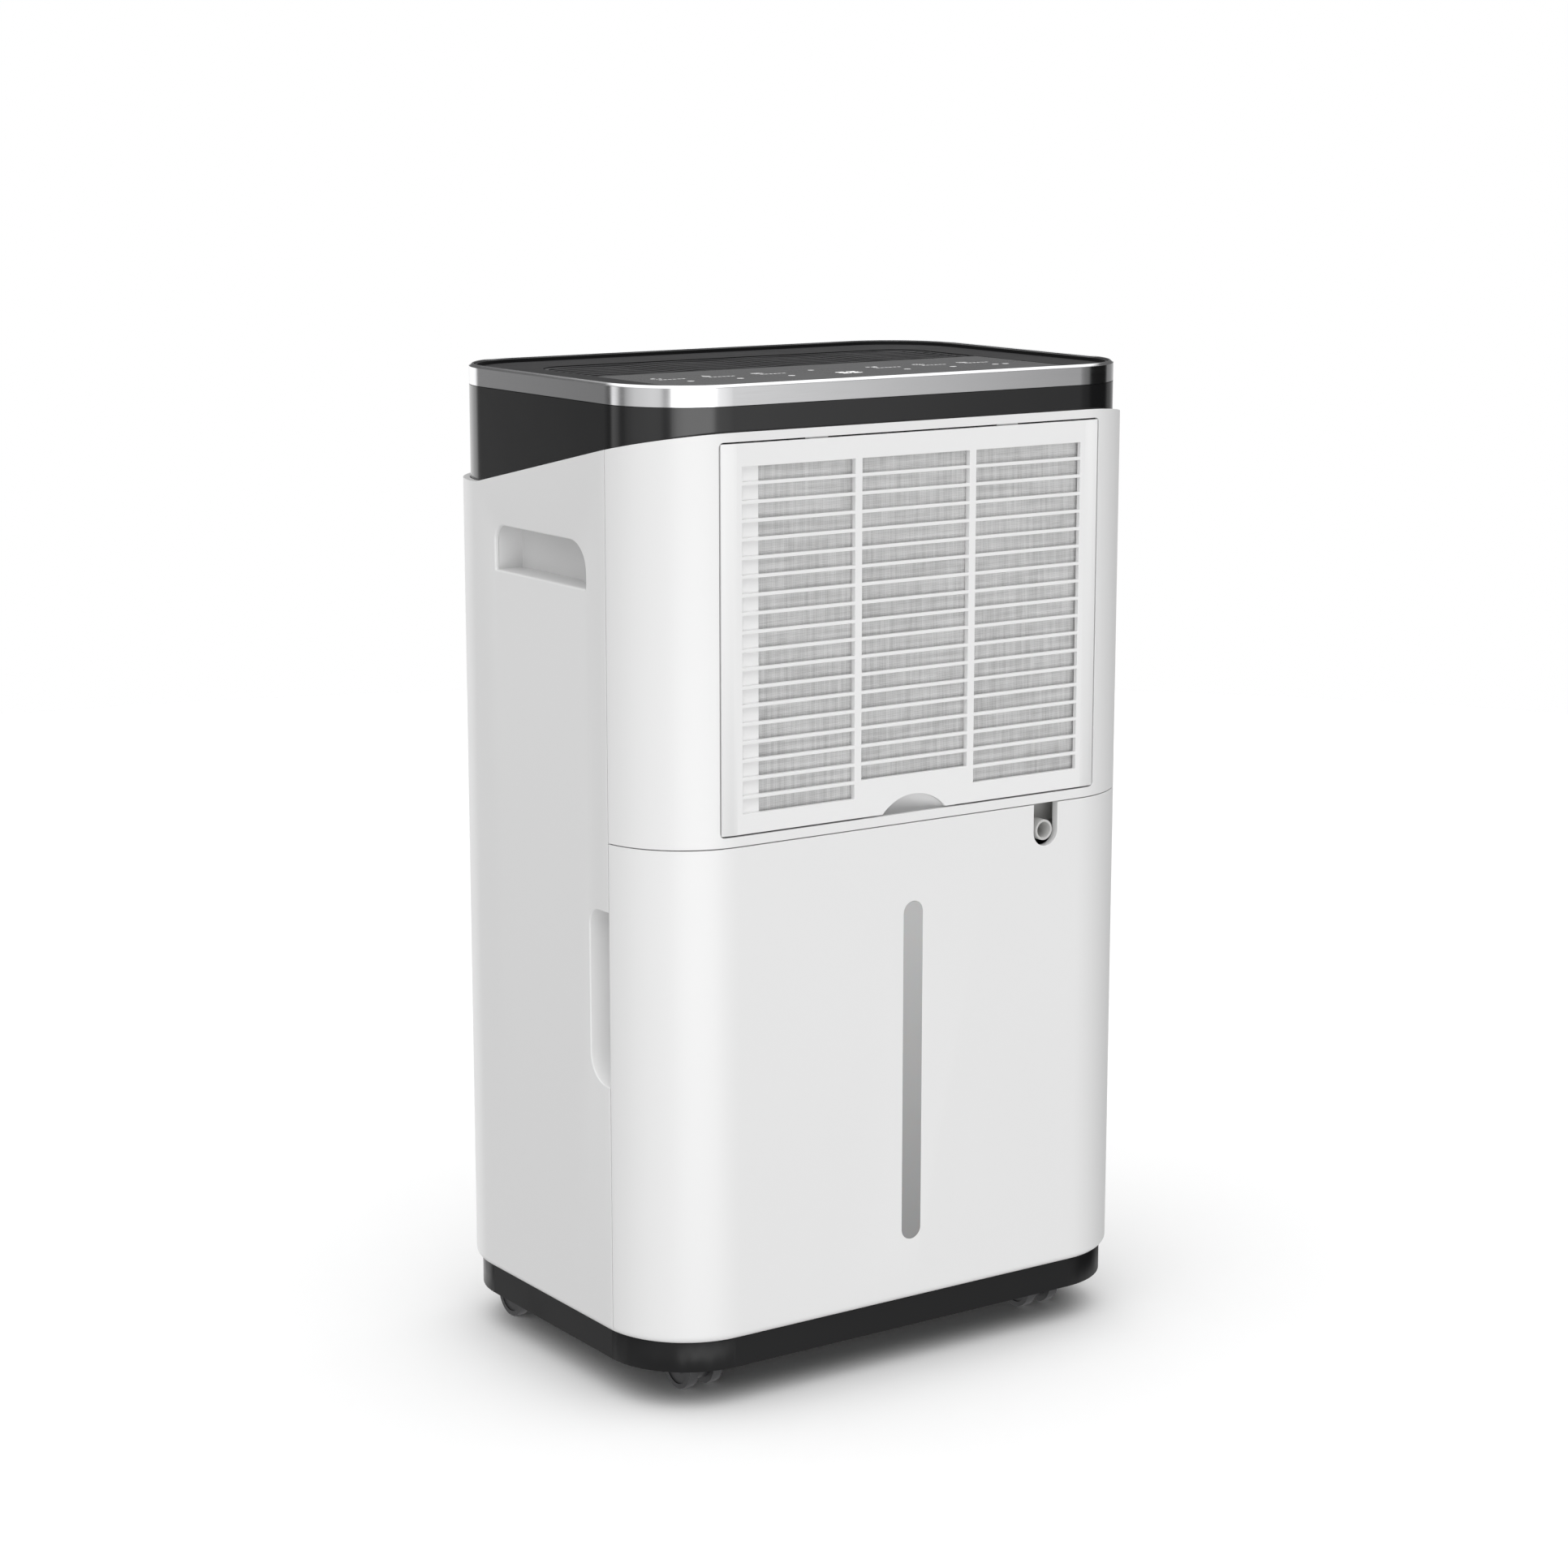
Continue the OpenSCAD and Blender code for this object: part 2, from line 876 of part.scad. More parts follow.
module terminal_cover() {
    color("dimgray")
        rod_z(shell_top + 0.1, shell_top + 14, compressor_x + 15, compressor_y, 13);
}

accumulator_x = 150;
accumulator_z0 = 120;
accumulator_z1 = 225;
accumulator_r = 18;
accumulator_round = 6;
bracket_z = [150, 158];

module accumulator() {
    z0 = accumulator_z0;
    z1 = accumulator_z1;
    r = accumulator_round;
    core = accumulator_r - r;
    color("black") {
        translate([accumulator_x, compressor_y, 0])
            rotate_extrude() {
                square_from([0, z0], [core, z1]);
                square_from([0, z0 + r], [accumulator_r, z1 - r]);
                translate([core, z0 + r])
                    circle(r = r);
                translate([core, z1 - r])
                    circle(r = r);
            }
        difference() {
            box([compressor_x + 40, compressor_y - 6, bracket_z[0]],
                [accumulator_x - 10, compressor_y + 6, bracket_z[1]]);
            rod_z(bracket_z[0] - 10, bracket_z[1] + 12, compressor_x, compressor_y, shell_r + fit_gap);
        }
    }
}

line_x = coil_x + 8;
stub_x = coil_x + 3.3;
top_row_z = tube_z(tube_rows - 1);
hot_line_z = 285;

module suction_line() {
    color("peru")
        pipe([[stub_x, evap_y, top_row_z], [accumulator_x, evap_y, top_row_z],
            [accumulator_x, compressor_y, top_row_z],
            [accumulator_x, compressor_y, accumulator_z1 + fit_gap]], 4);
}

module discharge_line() {
    color("peru")
        pipe([[port_x, compressor_y, shell_top + fit_gap], [port_x, compressor_y, hot_line_z],
            [line_x, compressor_y, hot_line_z], [line_x, compressor_y, top_row_z],
            [line_x, cond_y, top_row_z], [stub_x, cond_y, top_row_z]], 3);
}

drier_y = 26;
drier_z0 = 265;
drier_z1 = 340;
drier_r = 9;
drier_round = 4;

module filter_drier() {
    color("peru") {
        translate([line_x, drier_y, 0])
            rotate_extrude() {
                square_from([0, drier_z0], [drier_r - drier_round, drier_z1]);
                square_from([0, drier_z0 + drier_round], [drier_r, drier_z1 - drier_round]);
                for (z = [drier_z0 + drier_round, drier_z1 - drier_round])
                    translate([drier_r - drier_round, z])
                        circle(r = drier_round);
            }
        pipe([[line_x, drier_y, drier_z1 - 1], [line_x, drier_y, tube_z0],
            [line_x, cond_y, tube_z0], [stub_x, cond_y, tube_z0]], 3);
    }
}

capillary_x = 161;
capillary_z = 252;

module capillary_tube() {
    color("peru")
        pipe([[line_x, drier_y, drier_z0 - fit_gap], [line_x, drier_y, capillary_z],
            [capillary_x, drier_y, capillary_z], [capillary_x, drier_y, tube_z0],
            [capillary_x, evap_y, tube_z0], [stub_x, evap_y, tube_z0]], 1.3);
}

// ---- fan ----

fan_z = 462;
scroll_r = 84;
scroll_y0 = -44;
scroll_y1 = 36;
intake_r = 60;
shaft_r = 4;
motor_r = 38;
motor_l = 55;
hub_y = 26;
ring_y = -38;
blade_w = 13;
blade_t = 1.4;
blade_turn = 38;
arm_z0 = 500;
arm_z1 = 520;
duct_x0 = -12;
wall_t = 2;
mouth_x = 138;
mouth_z0 = 584;
mouth_z1 = 602;
mouth_y0 = 6;
mouth_y1 = 75;

// Outline of the scroll: a drum with a duct rising from its side
module scroll_outline(margin) {
    translate([0, fan_z])
        circle(r = scroll_r + margin, $fn = 96);
    square_from([duct_x0 - margin, fan_z], [scroll_r + margin, mouth_z1 - wall_t]);
}

// The duct opens into a flat plenum under the louvres
module fan_scroll() {
    color("gainsboro")
        difference() {
            union() {
                xz_prism(scroll_y0, scroll_y1)
                    scroll_outline(wall_t);
                box([-mouth_x - wall_t, scroll_y0, mouth_z0],
                    [mouth_x + wall_t, mouth_y1 + wall_t, mouth_z1]);
                for (s = [-1, 1])
                    on_side(s)
                        box([60, grip_screw_y - 8, arm_z0], [cup_back - 2.3, grip_screw_y + 8, arm_z1]);
            }
            xz_prism(scroll_y0 + wall_t, scroll_y1 - wall_t)
                scroll_outline(0);
            box([-mouth_x, scroll_y0 + wall_t, mouth_z0 + wall_t],
                [mouth_x, mouth_y1, mouth_z1 - wall_t]);
            box([-mouth_x, mouth_y0, mouth_z1 - wall_t - 1], [mouth_x, mouth_y1, body_h]);
            rod_y(scroll_y0 - 1, scroll_y0 + wall_t + 1, 0, fan_z, intake_r);
            rod_y(scroll_y1 - wall_t - 1, scroll_y1 + 1, 0, fan_z, 12);
            for (s = [-1, 1])
                on_side(s)
                    rod_x(cup_back - 12, cup_back, grip_screw_y, grip_screw_z, screw_r + 0.02);
        }
}

module fan_motor() {
    color("slategray")
        difference() {
            union() {
                rod_y(scroll_y1 + 0.2, scroll_y1 + 4, 0, fan_z, motor_r + 8);
                rod_y(scroll_y1 + 3, scroll_y1 + motor_l, 0, fan_z, motor_r);
                rod_y(scroll_y1 + motor_l, scroll_y1 + motor_l + 7, 0, fan_z, 12);
            }
            rod_y(scroll_y1, scroll_y1 + motor_l + 3, 0, fan_z, shaft_r + 0.05);
        }
}

module fan_shaft() {
    color("silver")
        rod_y(ring_y + 4, scroll_y1 + motor_l + 1, 0, fan_z, shaft_r);
}

module fan_impeller() {
    color("darkgray")
        translate([0, 0, fan_z])
            difference() {
                union() {
                    rod_y(hub_y, hub_y + 2.4, 0, 0, fan_r);
                    rod_y(-20, hub_y + 1, 0, 0, 9);
                    difference() {
                        rod_y(ring_y, ring_y + 2.5, 0, 0, fan_r);
                        rod_y(ring_y - 2, ring_y + 8, 0, 0, fan_r - 14);
                    }
                    for (i = [0 : blade_count - 1])
                        rotate([0, 360 * i / blade_count, 0])
                            translate([fan_r - 7.5, ring_y + 2, 0])
                                rotate([0, blade_turn, 0])
                                    box([-blade_w / 2, 0, -blade_t / 2],
                                        [blade_w / 2, hub_y - ring_y - 1.5, blade_t / 2]);
                }
                rod_y(-60, 60, 0, 0, shaft_r + 0.02);
            }
}

// ---- electrics ----

box_x0 = -160;
box_x1 = -62;
box_y0 = 50;
box_y1 = 116;
box_z0 = 100;
box_z1 = 250;
box_t = 2;
bracket_drop = [20, 6];
pcb_y = box_y1 - 8;
pcb_t = 1.6;
sensor_low = [-160, -113.5, 540];
sensor_high = [-148, -103, 566];
vent_pitch = 4;
vent_h = 1.6;

module electrical_box() {
    color("lightgray")
        difference() {
            union() {
                box([box_x0, box_y0, box_z0], [box_x1, box_y1, box_z1]);
                for (x = [box_x0 + 6, box_x1 - 12])
                    box([x, wall_y1 + 0.2, box_z1 - bracket_drop[0]],
                        [x + 6, box_y0 + 1, box_z1 - bracket_drop[1]]);
            }
            box([box_x0 + box_t, box_y0 + box_t, box_z0 + box_t],
                [box_x1 - box_t, box_y1 - box_t, box_z1 + 1]);
        }
}

module main_board() {
    color("seagreen")
        box([box_x0 + 6, pcb_y, box_z0 + 10], [box_x1 - 6, pcb_y + pcb_t, box_z1 - 12]);
    color("black") {
        box([box_x0 + 12, pcb_y - 18, box_z0 + 20], [box_x0 + 34, pcb_y - 0.2, box_z0 + 40]);
        box([box_x0 + 12, pcb_y - 16, box_z0 + 60], [box_x0 + 28, pcb_y - 0.2, box_z0 + 88]);
        box([box_x0 + 40, pcb_y - 8, box_z0 + 110], [box_x0 + 80, pcb_y - 0.2, box_z0 + 122]);
    }
}

module run_capacitor() {
    color("silver")
        rod_z(box_z0 + box_t + fit_gap, box_z0 + 72, box_x1 - 26, box_y0 + 24, 17);
}

module humidity_sensor() {
    color("white")
        difference() {
            box(sensor_low, sensor_high);
            for (z = [sensor_low[2] + 6 : vent_pitch : sensor_high[2] - 6])
                box([sensor_low[0] - 1, sensor_low[1] + 2.5, z],
                    [sensor_high[0] + 1, sensor_high[1] - 3, z + vent_h]);
        }
}

module cord_gland() {
    color("black")
        difference() {
            union() {
                rod_y(rear_y - 12, rear_y, gland_x, gland_z, gland_r);
                rod_y(rear_y - 6, rear_y - shell_t - 0.2, gland_x, gland_z, gland_r + 2.5);
            }
            rod_y(rear_y - 13, rear_y + 1, gland_x, gland_z, cord_r);
        }
}

module level_switch() {
    color("black")
        box([126, 2.8, 246], [144, 12, 268]);
}

// ---- bucket ----

tub_y0 = -124;
tub_y1 = -5;
tub_z0 = 48;
tub_mid_y = (tub_y0 + tub_y1) / 2;
tub_d = tub_y1 - tub_y0;
tub_r = 22;

module tub_slab(inset, z0, z1) {
    translate([0, tub_mid_y, z0])
        linear_extrude(z1 - z0)
            round_rect(2 * (tub_x - inset), tub_d - 2 * inset, tub_r - inset);
}

module bucket_tub() {
    color("gainsboro")
        difference() {
            union() {
                tub_slab(0, tub_z0, tub_top);
                tub_slab(-1.2, tub_top - 3, tub_top);
            }
            tub_slab(tub_t, tub_z0 + tub_t, tub_top + 1);
        }
}

window_mid_z = 188.9;
window_r = 7.15;
notch_x0 = spout_x - 9.35;
notch_x1 = spout_x + 9.35;
notch_z = 327.55;
rim_t = 2;
rib_x = [30, 80];
rib_t = 2.4;
rib_y = front_y + 5;
window_t = 2.8;

module window_outline(r) {
    h = window_h / 2 + r - window_r;
    square([2 * r, 2 * (h - r)], center = true);
    for (s = [-1, 1])
        translate([0, s * (h - r)])
            circle(r = r);
}

// Round-bottomed notch around the drain spout, open at the top
module drain_notch(margin, y0, y1, top) {
    rod_y(y0, y1, spout_x, notch_z, spout_x - notch_x0 + margin);
    box([notch_x0 - margin, y0, notch_z], [notch_x1 + margin, y1, top]);
}

module bucket_front() {
    high = seam_z - seam_gap / 2;
    color(white)
        difference() {
            union() {
                intersection() {
                    white_shell();
                    box([-far, -far, 0], [far, front_seam_y, high]);
                }
                edge_flanges(white_z + 4, high);
                for (s = [-1, 1], x = rib_x)
                    box([s * x - rib_t / 2, front_y + 2, 60], [s * x + rib_t / 2, rib_y, tub_top - 8]);
                drain_notch(rim_t, front_y + 2, front_y + 5.5, high);
            }
            xz_prism(front_y - 1, front_y + 5)
                translate([0, window_mid_z])
                    window_outline(window_r);
            drain_notch(0, front_y - 1, front_y + 9, high + 1);
        }
}

module bucket_window() {
    color("silver")
        translate([0, 0, window_mid_z]) {
            xz_prism(front_y + 0.2, front_y + 0.2 + window_t)
                window_outline(window_r - 0.1);
            xz_prism(front_y + shell_t + 0.2, front_y + shell_t + 1.8)
                window_outline(window_r + 3);
        }
}

lid_z0 = tub_top + 0.4;
lid_z1 = lid_z0 + 2;
pivot_y = -30;
pivot_z = lid_z1 + 4.4;
pivot_r = 2;
handle_x = 60;
float_x = 135;
float_y = -25;
float_z = tub_top - 9;
lid_skirt = 4;
handle_lug_w = 6;
handle_lug_r = 5;
handle_r = 4;
float_lug_x = 16;
float_lug_w = 3;
float_lug_r = 4;
float_pin_r = 1.5;
float_half = 13;
float_low = [-66, -26];
float_high = [-36, -1];
fill_x = 40;
fill_y = [-112, -76];

module bucket_lid() {
    lug = handle_lug_w / 2;
    pad = float_lug_w / 2;
    color("lightgray")
        difference() {
            union() {
                tub_slab(1.5, lid_z0, lid_z1);
                difference() {
                    tub_slab(tub_t + 0.4, lid_z0 - lid_skirt, lid_z1);
                    tub_slab(tub_t + 2.4, lid_z0 - lid_skirt - 2, lid_z0);
                }
                for (s = [-1, 1]) {
                    box([s * handle_x - lug, pivot_y - handle_lug_r, lid_z1 - 1],
                        [s * handle_x + lug, pivot_y + handle_lug_r, pivot_z]);
                    rod_x(s * handle_x - lug, s * handle_x + lug, pivot_y, pivot_z, handle_lug_r);
                    on_float(s) {
                        box([float_lug_x - pad, float_y - float_lug_r, float_z],
                            [float_lug_x + pad, float_y + float_lug_r, lid_z1]);
                        rod_x(float_lug_x - pad, float_lug_x + pad, float_y, float_z, float_lug_r);
                    }
                }
            }
            box([-fill_x, fill_y[0], lid_z0 - lid_skirt - 1], [fill_x, fill_y[1], lid_z1 + 1]);
            rod_x(-handle_x - 4, handle_x + 4, pivot_y, pivot_z, pivot_r + 0.05);
            rod_x(float_x - 20, float_x + 20, float_y, float_z, float_pin_r + 0.05);
        }
}

module bucket_handle() {
    arm_y = pivot_y - handle_arm;
    inner_x = handle_x - handle_r;
    color("darkgray") {
        rod_x(-inner_x, inner_x, arm_y, pivot_z, handle_r);
        for (s = [-1, 1])
            on_side(s) {
                rod_x(inner_x - 4, handle_x + 4.5, pivot_y, pivot_z, pivot_r);
                rod_x(inner_x - 4, inner_x, pivot_y, pivot_z, handle_r);
                box([inner_x - 4, arm_y, pivot_z - 3.4], [inner_x, pivot_y, pivot_z + 3.4]);
            }
    }
}

module bucket_float() {
    color("orange") {
        rod_x(float_x - 18.5, float_x + 18.5, float_y, float_z, float_pin_r);
        for (s = [-1, 1])
            on_float(s)
                box([float_half - 3, float_y - 40, float_z - 3], [float_half, float_y + 3, float_z + 2]);
        box([float_x - float_half, float_y + float_low[0], float_z + float_low[1]],
            [float_x + float_half, float_y + float_high[0], float_z + float_high[1]]);
    }
}

module on_float(s) {
    translate([float_x, 0, 0])
        on_side(s)
            children();
}

// ---- casters ----

caster_places = [[-front_caster[0], front_caster[1]], front_caster,
    [-rear_caster[0], rear_caster[1]], rear_caster];
wheel_w = 6.5;
wheel_x0 = 5.5;
axle_r = 2;
fork_x = 5;
swivel_r = 7.5;
cheek_r = 11;
rim_w = 3;
hub_cap_r = 6;
dish = 0.8;

module at_caster(i) {
    translate([caster_places[i][0], caster_places[i][1], 0])
        children();
}

module caster_housing(i) {
    color("dimgray")
        at_caster(i)
            difference() {
                union() {
                    rod_z(wheel_r, pocket_top - 1.5, 0, 0, swivel_r);
                    rod_x(-fork_x, fork_x, trail, wheel_r, cheek_r);
                    box([-fork_x, 0, wheel_r], [fork_x, trail + 6, wheel_r + 9]);
                }
                rod_z(wheel_r + 4, pocket_top, 0, 0, stem_r + 0.02);
                rod_x(-fork_x - 5, fork_x + 5, trail, wheel_r, axle_r + 0.02);
                for (s = [-1, 1])
                    on_side(s)
                        box([fork_x, -20, 0], [fork_x + 20, 30, 40]);
            }
}

module caster_pins(i) {
    color("silver")
        at_caster(i) {
            rod_z(wheel_r + 4.2, boss_top - 0.6, 0, 0, stem_r);
            rod_x(-wheel_x0 - wheel_w + 1, wheel_x0 + wheel_w - 1, trail, wheel_r, axle_r);
        }
}

// Wheel with a dished outer face, a raised rim and a hub cap
module caster_wheel(i, s) {
    outer = wheel_x0 + wheel_w;
    color("black")
        at_caster(i)
            on_side(s)
                difference() {
                    rod_x(wheel_x0, outer, trail, wheel_r, wheel_r);
                    rod_x(wheel_x0 - 1, outer - 0.9, trail, wheel_r, axle_r + 0.05);
                    difference() {
                        rod_x(outer - dish, outer + 1, trail, wheel_r, wheel_r - rim_w);
                        rod_x(wheel_x0, outer + 1, trail, wheel_r, hub_cap_r);
                    }
                }
}

base_pan();
rear_housing();
front_panel();
top_surround();
silver_trim();
control_panel();
control_board();
outlet_grille();
grip_cup_left();
grip_cup_right();
housing_screws();
partition();
drip_tray();
evaporator_fins();
evaporator_tubes();
condenser_fins();
condenser_tubes();
compressor_shell();
accumulator();
compressor_grommets();
compressor_studs();
terminal_cover();
suction_line();
discharge_line();
capillary_tube();
filter_drier();
fan_scroll();
fan_motor();
fan_impeller();
fan_shaft();
electrical_box();
main_board();
run_capacitor();
humidity_sensor();
cord_gland();
level_switch();
filter_frame();
filter_mesh();
bucket_tub();
bucket_front();
bucket_window();
bucket_lid();
bucket_handle();
bucket_float();
caster_housing(0);  // caster_fl_housing
caster_pins(0);  // caster_fl_pins
caster_wheel(0, -1);  // caster_fl_wheel_l
caster_wheel(0, 1);  // caster_fl_wheel_r
caster_housing(1);  // caster_fr_housing
caster_pins(1);  // caster_fr_pins
caster_wheel(1, -1);  // caster_fr_wheel_l
caster_wheel(1, 1);  // caster_fr_wheel_r
caster_housing(2);  // caster_rl_housing
caster_pins(2);  // caster_rl_pins
caster_wheel(2, -1);  // caster_rl_wheel_l
caster_wheel(2, 1);  // caster_rl_wheel_r
caster_housing(3);  // caster_rr_housing
caster_pins(3);  // caster_rr_pins
caster_wheel(3, -1);  // caster_rr_wheel_l
caster_wheel(3, 1);  // caster_rr_wheel_r
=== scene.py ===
"""Portable dehumidifier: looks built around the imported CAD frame. Everything is in metres."""
import math

import bmesh
import bpy
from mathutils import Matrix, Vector


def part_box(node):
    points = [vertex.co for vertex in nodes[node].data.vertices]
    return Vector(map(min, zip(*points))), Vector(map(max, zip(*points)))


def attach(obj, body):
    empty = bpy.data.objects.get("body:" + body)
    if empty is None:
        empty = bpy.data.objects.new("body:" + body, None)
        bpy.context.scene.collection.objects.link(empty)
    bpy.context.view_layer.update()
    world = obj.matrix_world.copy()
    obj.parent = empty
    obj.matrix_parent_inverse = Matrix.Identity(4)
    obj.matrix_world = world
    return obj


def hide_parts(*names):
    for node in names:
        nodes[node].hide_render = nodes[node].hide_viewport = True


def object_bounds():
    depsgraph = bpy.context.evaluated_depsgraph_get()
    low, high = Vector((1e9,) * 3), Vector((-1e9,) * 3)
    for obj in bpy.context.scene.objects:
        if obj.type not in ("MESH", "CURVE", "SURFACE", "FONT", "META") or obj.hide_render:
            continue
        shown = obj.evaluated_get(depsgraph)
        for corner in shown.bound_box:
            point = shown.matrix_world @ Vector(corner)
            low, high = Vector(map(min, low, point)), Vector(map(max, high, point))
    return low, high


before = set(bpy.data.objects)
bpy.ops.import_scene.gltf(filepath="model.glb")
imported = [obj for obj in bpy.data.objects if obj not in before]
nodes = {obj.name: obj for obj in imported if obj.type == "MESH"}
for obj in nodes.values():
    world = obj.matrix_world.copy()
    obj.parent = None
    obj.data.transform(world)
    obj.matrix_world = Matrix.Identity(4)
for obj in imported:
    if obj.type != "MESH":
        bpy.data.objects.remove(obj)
cad_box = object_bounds()
MM = 0.001

# ---------------------------------------------------------------- driving dimensions

LOW, HIGH = (Vector(corner) for corner in cad_box)
BODY_W = HIGH.x - LOW.x
BODY_D = HIGH.y - LOW.y
BODY_H = HIGH.z
SIDE = BODY_W / 2
REAR = BODY_D / 2
CORNER_R = 58 * MM
SHELL_T = 2.6 * MM
WHITE_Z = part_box("rear_housing")[0][2]
SHOULDER_FRONT_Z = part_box("front_panel")[1][2]
SHOULDER_REAR_Z = 545 * MM
SHOULDER_Y = 72 * MM
FRONT_SEAM_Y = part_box("bucket_front")[1][1]
REAR_SEAM_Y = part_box("rear_housing")[0][1]
BUCKET_TOP_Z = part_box("bucket_front")[1][2]
PANEL_LOW_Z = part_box("front_panel")[0][2]
TOP_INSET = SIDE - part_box("silver_trim")[1][0]
TRIM_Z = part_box("silver_trim")[0][2]
LIP_T = 3 * MM
LIP_INSET = 6.2 * MM
BOTTOM_R = 5 * MM
CUT = 5 * MM
GAP = 0.3 * MM
PANEL_TOP_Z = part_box("control_panel")[1][2]
PANEL_LOW_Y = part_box("control_panel")[0][1] - 0.4 * MM
PANEL_HIGH_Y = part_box("control_panel")[1][1] + GAP
DECK_Z = PANEL_TOP_Z + 0.1 * MM
GRILLE_Y0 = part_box("outlet_grille")[0][1] - GAP
ISLAND_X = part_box("outlet_grille")[1][0] + GAP
ISLAND_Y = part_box("outlet_grille")[1][1] + GAP
ISLAND_R = 24 * MM


# ---------------------------------------------------------------- node helpers

class Graph:
    """A short way to add and join shader nodes in one tree."""

    def __init__(self, tree):
        self.tree = tree

    def add(self, kind, inputs=None, **settings):
        node = self.tree.nodes.new(kind)
        for key, value in settings.items():
            setattr(node, key, value)
        for key, value in (inputs or {}).items():
            if isinstance(value, bpy.types.NodeSocket):
                self.tree.links.new(value, node.inputs[key])
            else:
                node.inputs[key].default_value = value
        return node

    def math(self, operation, *values):
        node = self.add("ShaderNodeMath", operation=operation)
        for i, value in enumerate(values):
            if isinstance(value, bpy.types.NodeSocket):
                self.tree.links.new(value, node.inputs[i])
            else:
                node.inputs[i].default_value = value
        return node.outputs[0]

    def ramp(self, factor, stops):
        node = self.add("ShaderNodeValToRGB", {"Fac": factor})
        elements = node.color_ramp.elements
        while len(elements) < len(stops):
            elements.new(0.5)
        for element, (position, value) in zip(elements, stops):
            element.position = position
            element.color = (value, value, value, 1) if isinstance(value, (int, float)) else (*value, 1)
        return node.outputs["Color"]


def grey(value):
    """Opaque neutral colour."""
    return (value, value, value, 1)


# ---------------------------------------------------------------- materials

def new_material(name):
    """Material, its graph, its shader and the piece's own coordinates."""
    material = bpy.data.materials.new(name)
    material.use_nodes = True
    graph = Graph(material.node_tree)
    shader = material.node_tree.nodes["Principled BSDF"]
    where = graph.add("ShaderNodeTexCoord").outputs["Object"]
    return material, graph, shader, where


def moulded(name, colour, roughness=0.4, grain=0.25 * MM, depth=0.02, drift=0.03, coat=0.0,
            coat_roughness=0.1, spread=0.06, specular=0.5):
    """Moulded plastic: fine grain in the bump, slow drift in colour, uneven polish."""
    material, g, shader, where = new_material(name)
    fine = g.add("ShaderNodeTexNoise", {"Vector": where, "Scale": 1 / (grain * 4), "Detail": 3.0})
    slow = g.add("ShaderNodeTexNoise", {"Vector": where, "Scale": 9.0, "Detail": 2.0})
    smudge = g.add("ShaderNodeTexNoise", {"Vector": where, "Scale": 34.0, "Detail": 4.0})
    shade = g.add("ShaderNodeMapRange", {"Value": slow.outputs["Fac"], "To Min": 1 - drift,
                                         "To Max": 1 + drift})
    tint = g.add("ShaderNodeMix", {6: (*colour, 1), 7: shade.outputs[0]}, data_type="RGBA",
                 blend_type="MULTIPLY")
    tint.inputs[0].default_value = 1.0
    g.tree.links.new(tint.outputs[2], shader.inputs["Base Color"])
    polish = g.add("ShaderNodeMapRange", {"Value": smudge.outputs["Fac"], "From Min": 0.3,
                                          "From Max": 0.7, "To Min": roughness - spread,
                                          "To Max": roughness + spread})
    g.tree.links.new(polish.outputs[0], shader.inputs["Roughness"])
    bump = g.add("ShaderNodeBump", {"Height": fine.outputs["Fac"], "Strength": depth,
                                    "Distance": 0.0004})
    g.tree.links.new(bump.outputs[0], shader.inputs["Normal"])
    shader.inputs["Coat Weight"].default_value = coat
    shader.inputs["Coat Roughness"].default_value = coat_roughness
    shader.inputs["Specular IOR Level"].default_value = specular
    return material


def metal(name, colour, roughness=0.25, grain=(1, 1, 1), scale=700.0, depth=0.03, drift=0.06):
    """Metal with a directional grain: the noise is stretched along one axis."""
    material, g, shader, where = new_material(name)
    stretch = g.add("ShaderNodeMapping", {"Vector": where, "Scale": grain})
    lines = g.add("ShaderNodeTexNoise", {"Vector": stretch.outputs[0], "Scale": scale, "Detail": 3.0})
    slow = g.add("ShaderNodeTexNoise", {"Vector": where, "Scale": 14.0, "Detail": 3.0})
    shade = g.add("ShaderNodeMapRange", {"Value": slow.outputs["Fac"], "To Min": 1 - drift,
                                         "To Max": 1 + drift})
    tint = g.add("ShaderNodeMix", {6: (*colour, 1), 7: shade.outputs[0]}, data_type="RGBA",
                 blend_type="MULTIPLY")
    tint.inputs[0].default_value = 1.0
    g.tree.links.new(tint.outputs[2], shader.inputs["Base Color"])
    polish = g.add("ShaderNodeMapRange", {"Value": lines.outputs["Fac"], "From Min": 0.3,
                                          "From Max": 0.7, "To Min": roughness * 0.8,
                                          "To Max": roughness * 1.25})
    g.tree.links.new(polish.outputs[0], shader.inputs["Roughness"])
    bump = g.add("ShaderNodeBump", {"Height": lines.outputs["Fac"], "Strength": depth,
                                    "Distance": 0.0002})
    g.tree.links.new(bump.outputs[0], shader.inputs["Normal"])
    shader.inputs["Metallic"].default_value = 1.0
    return material


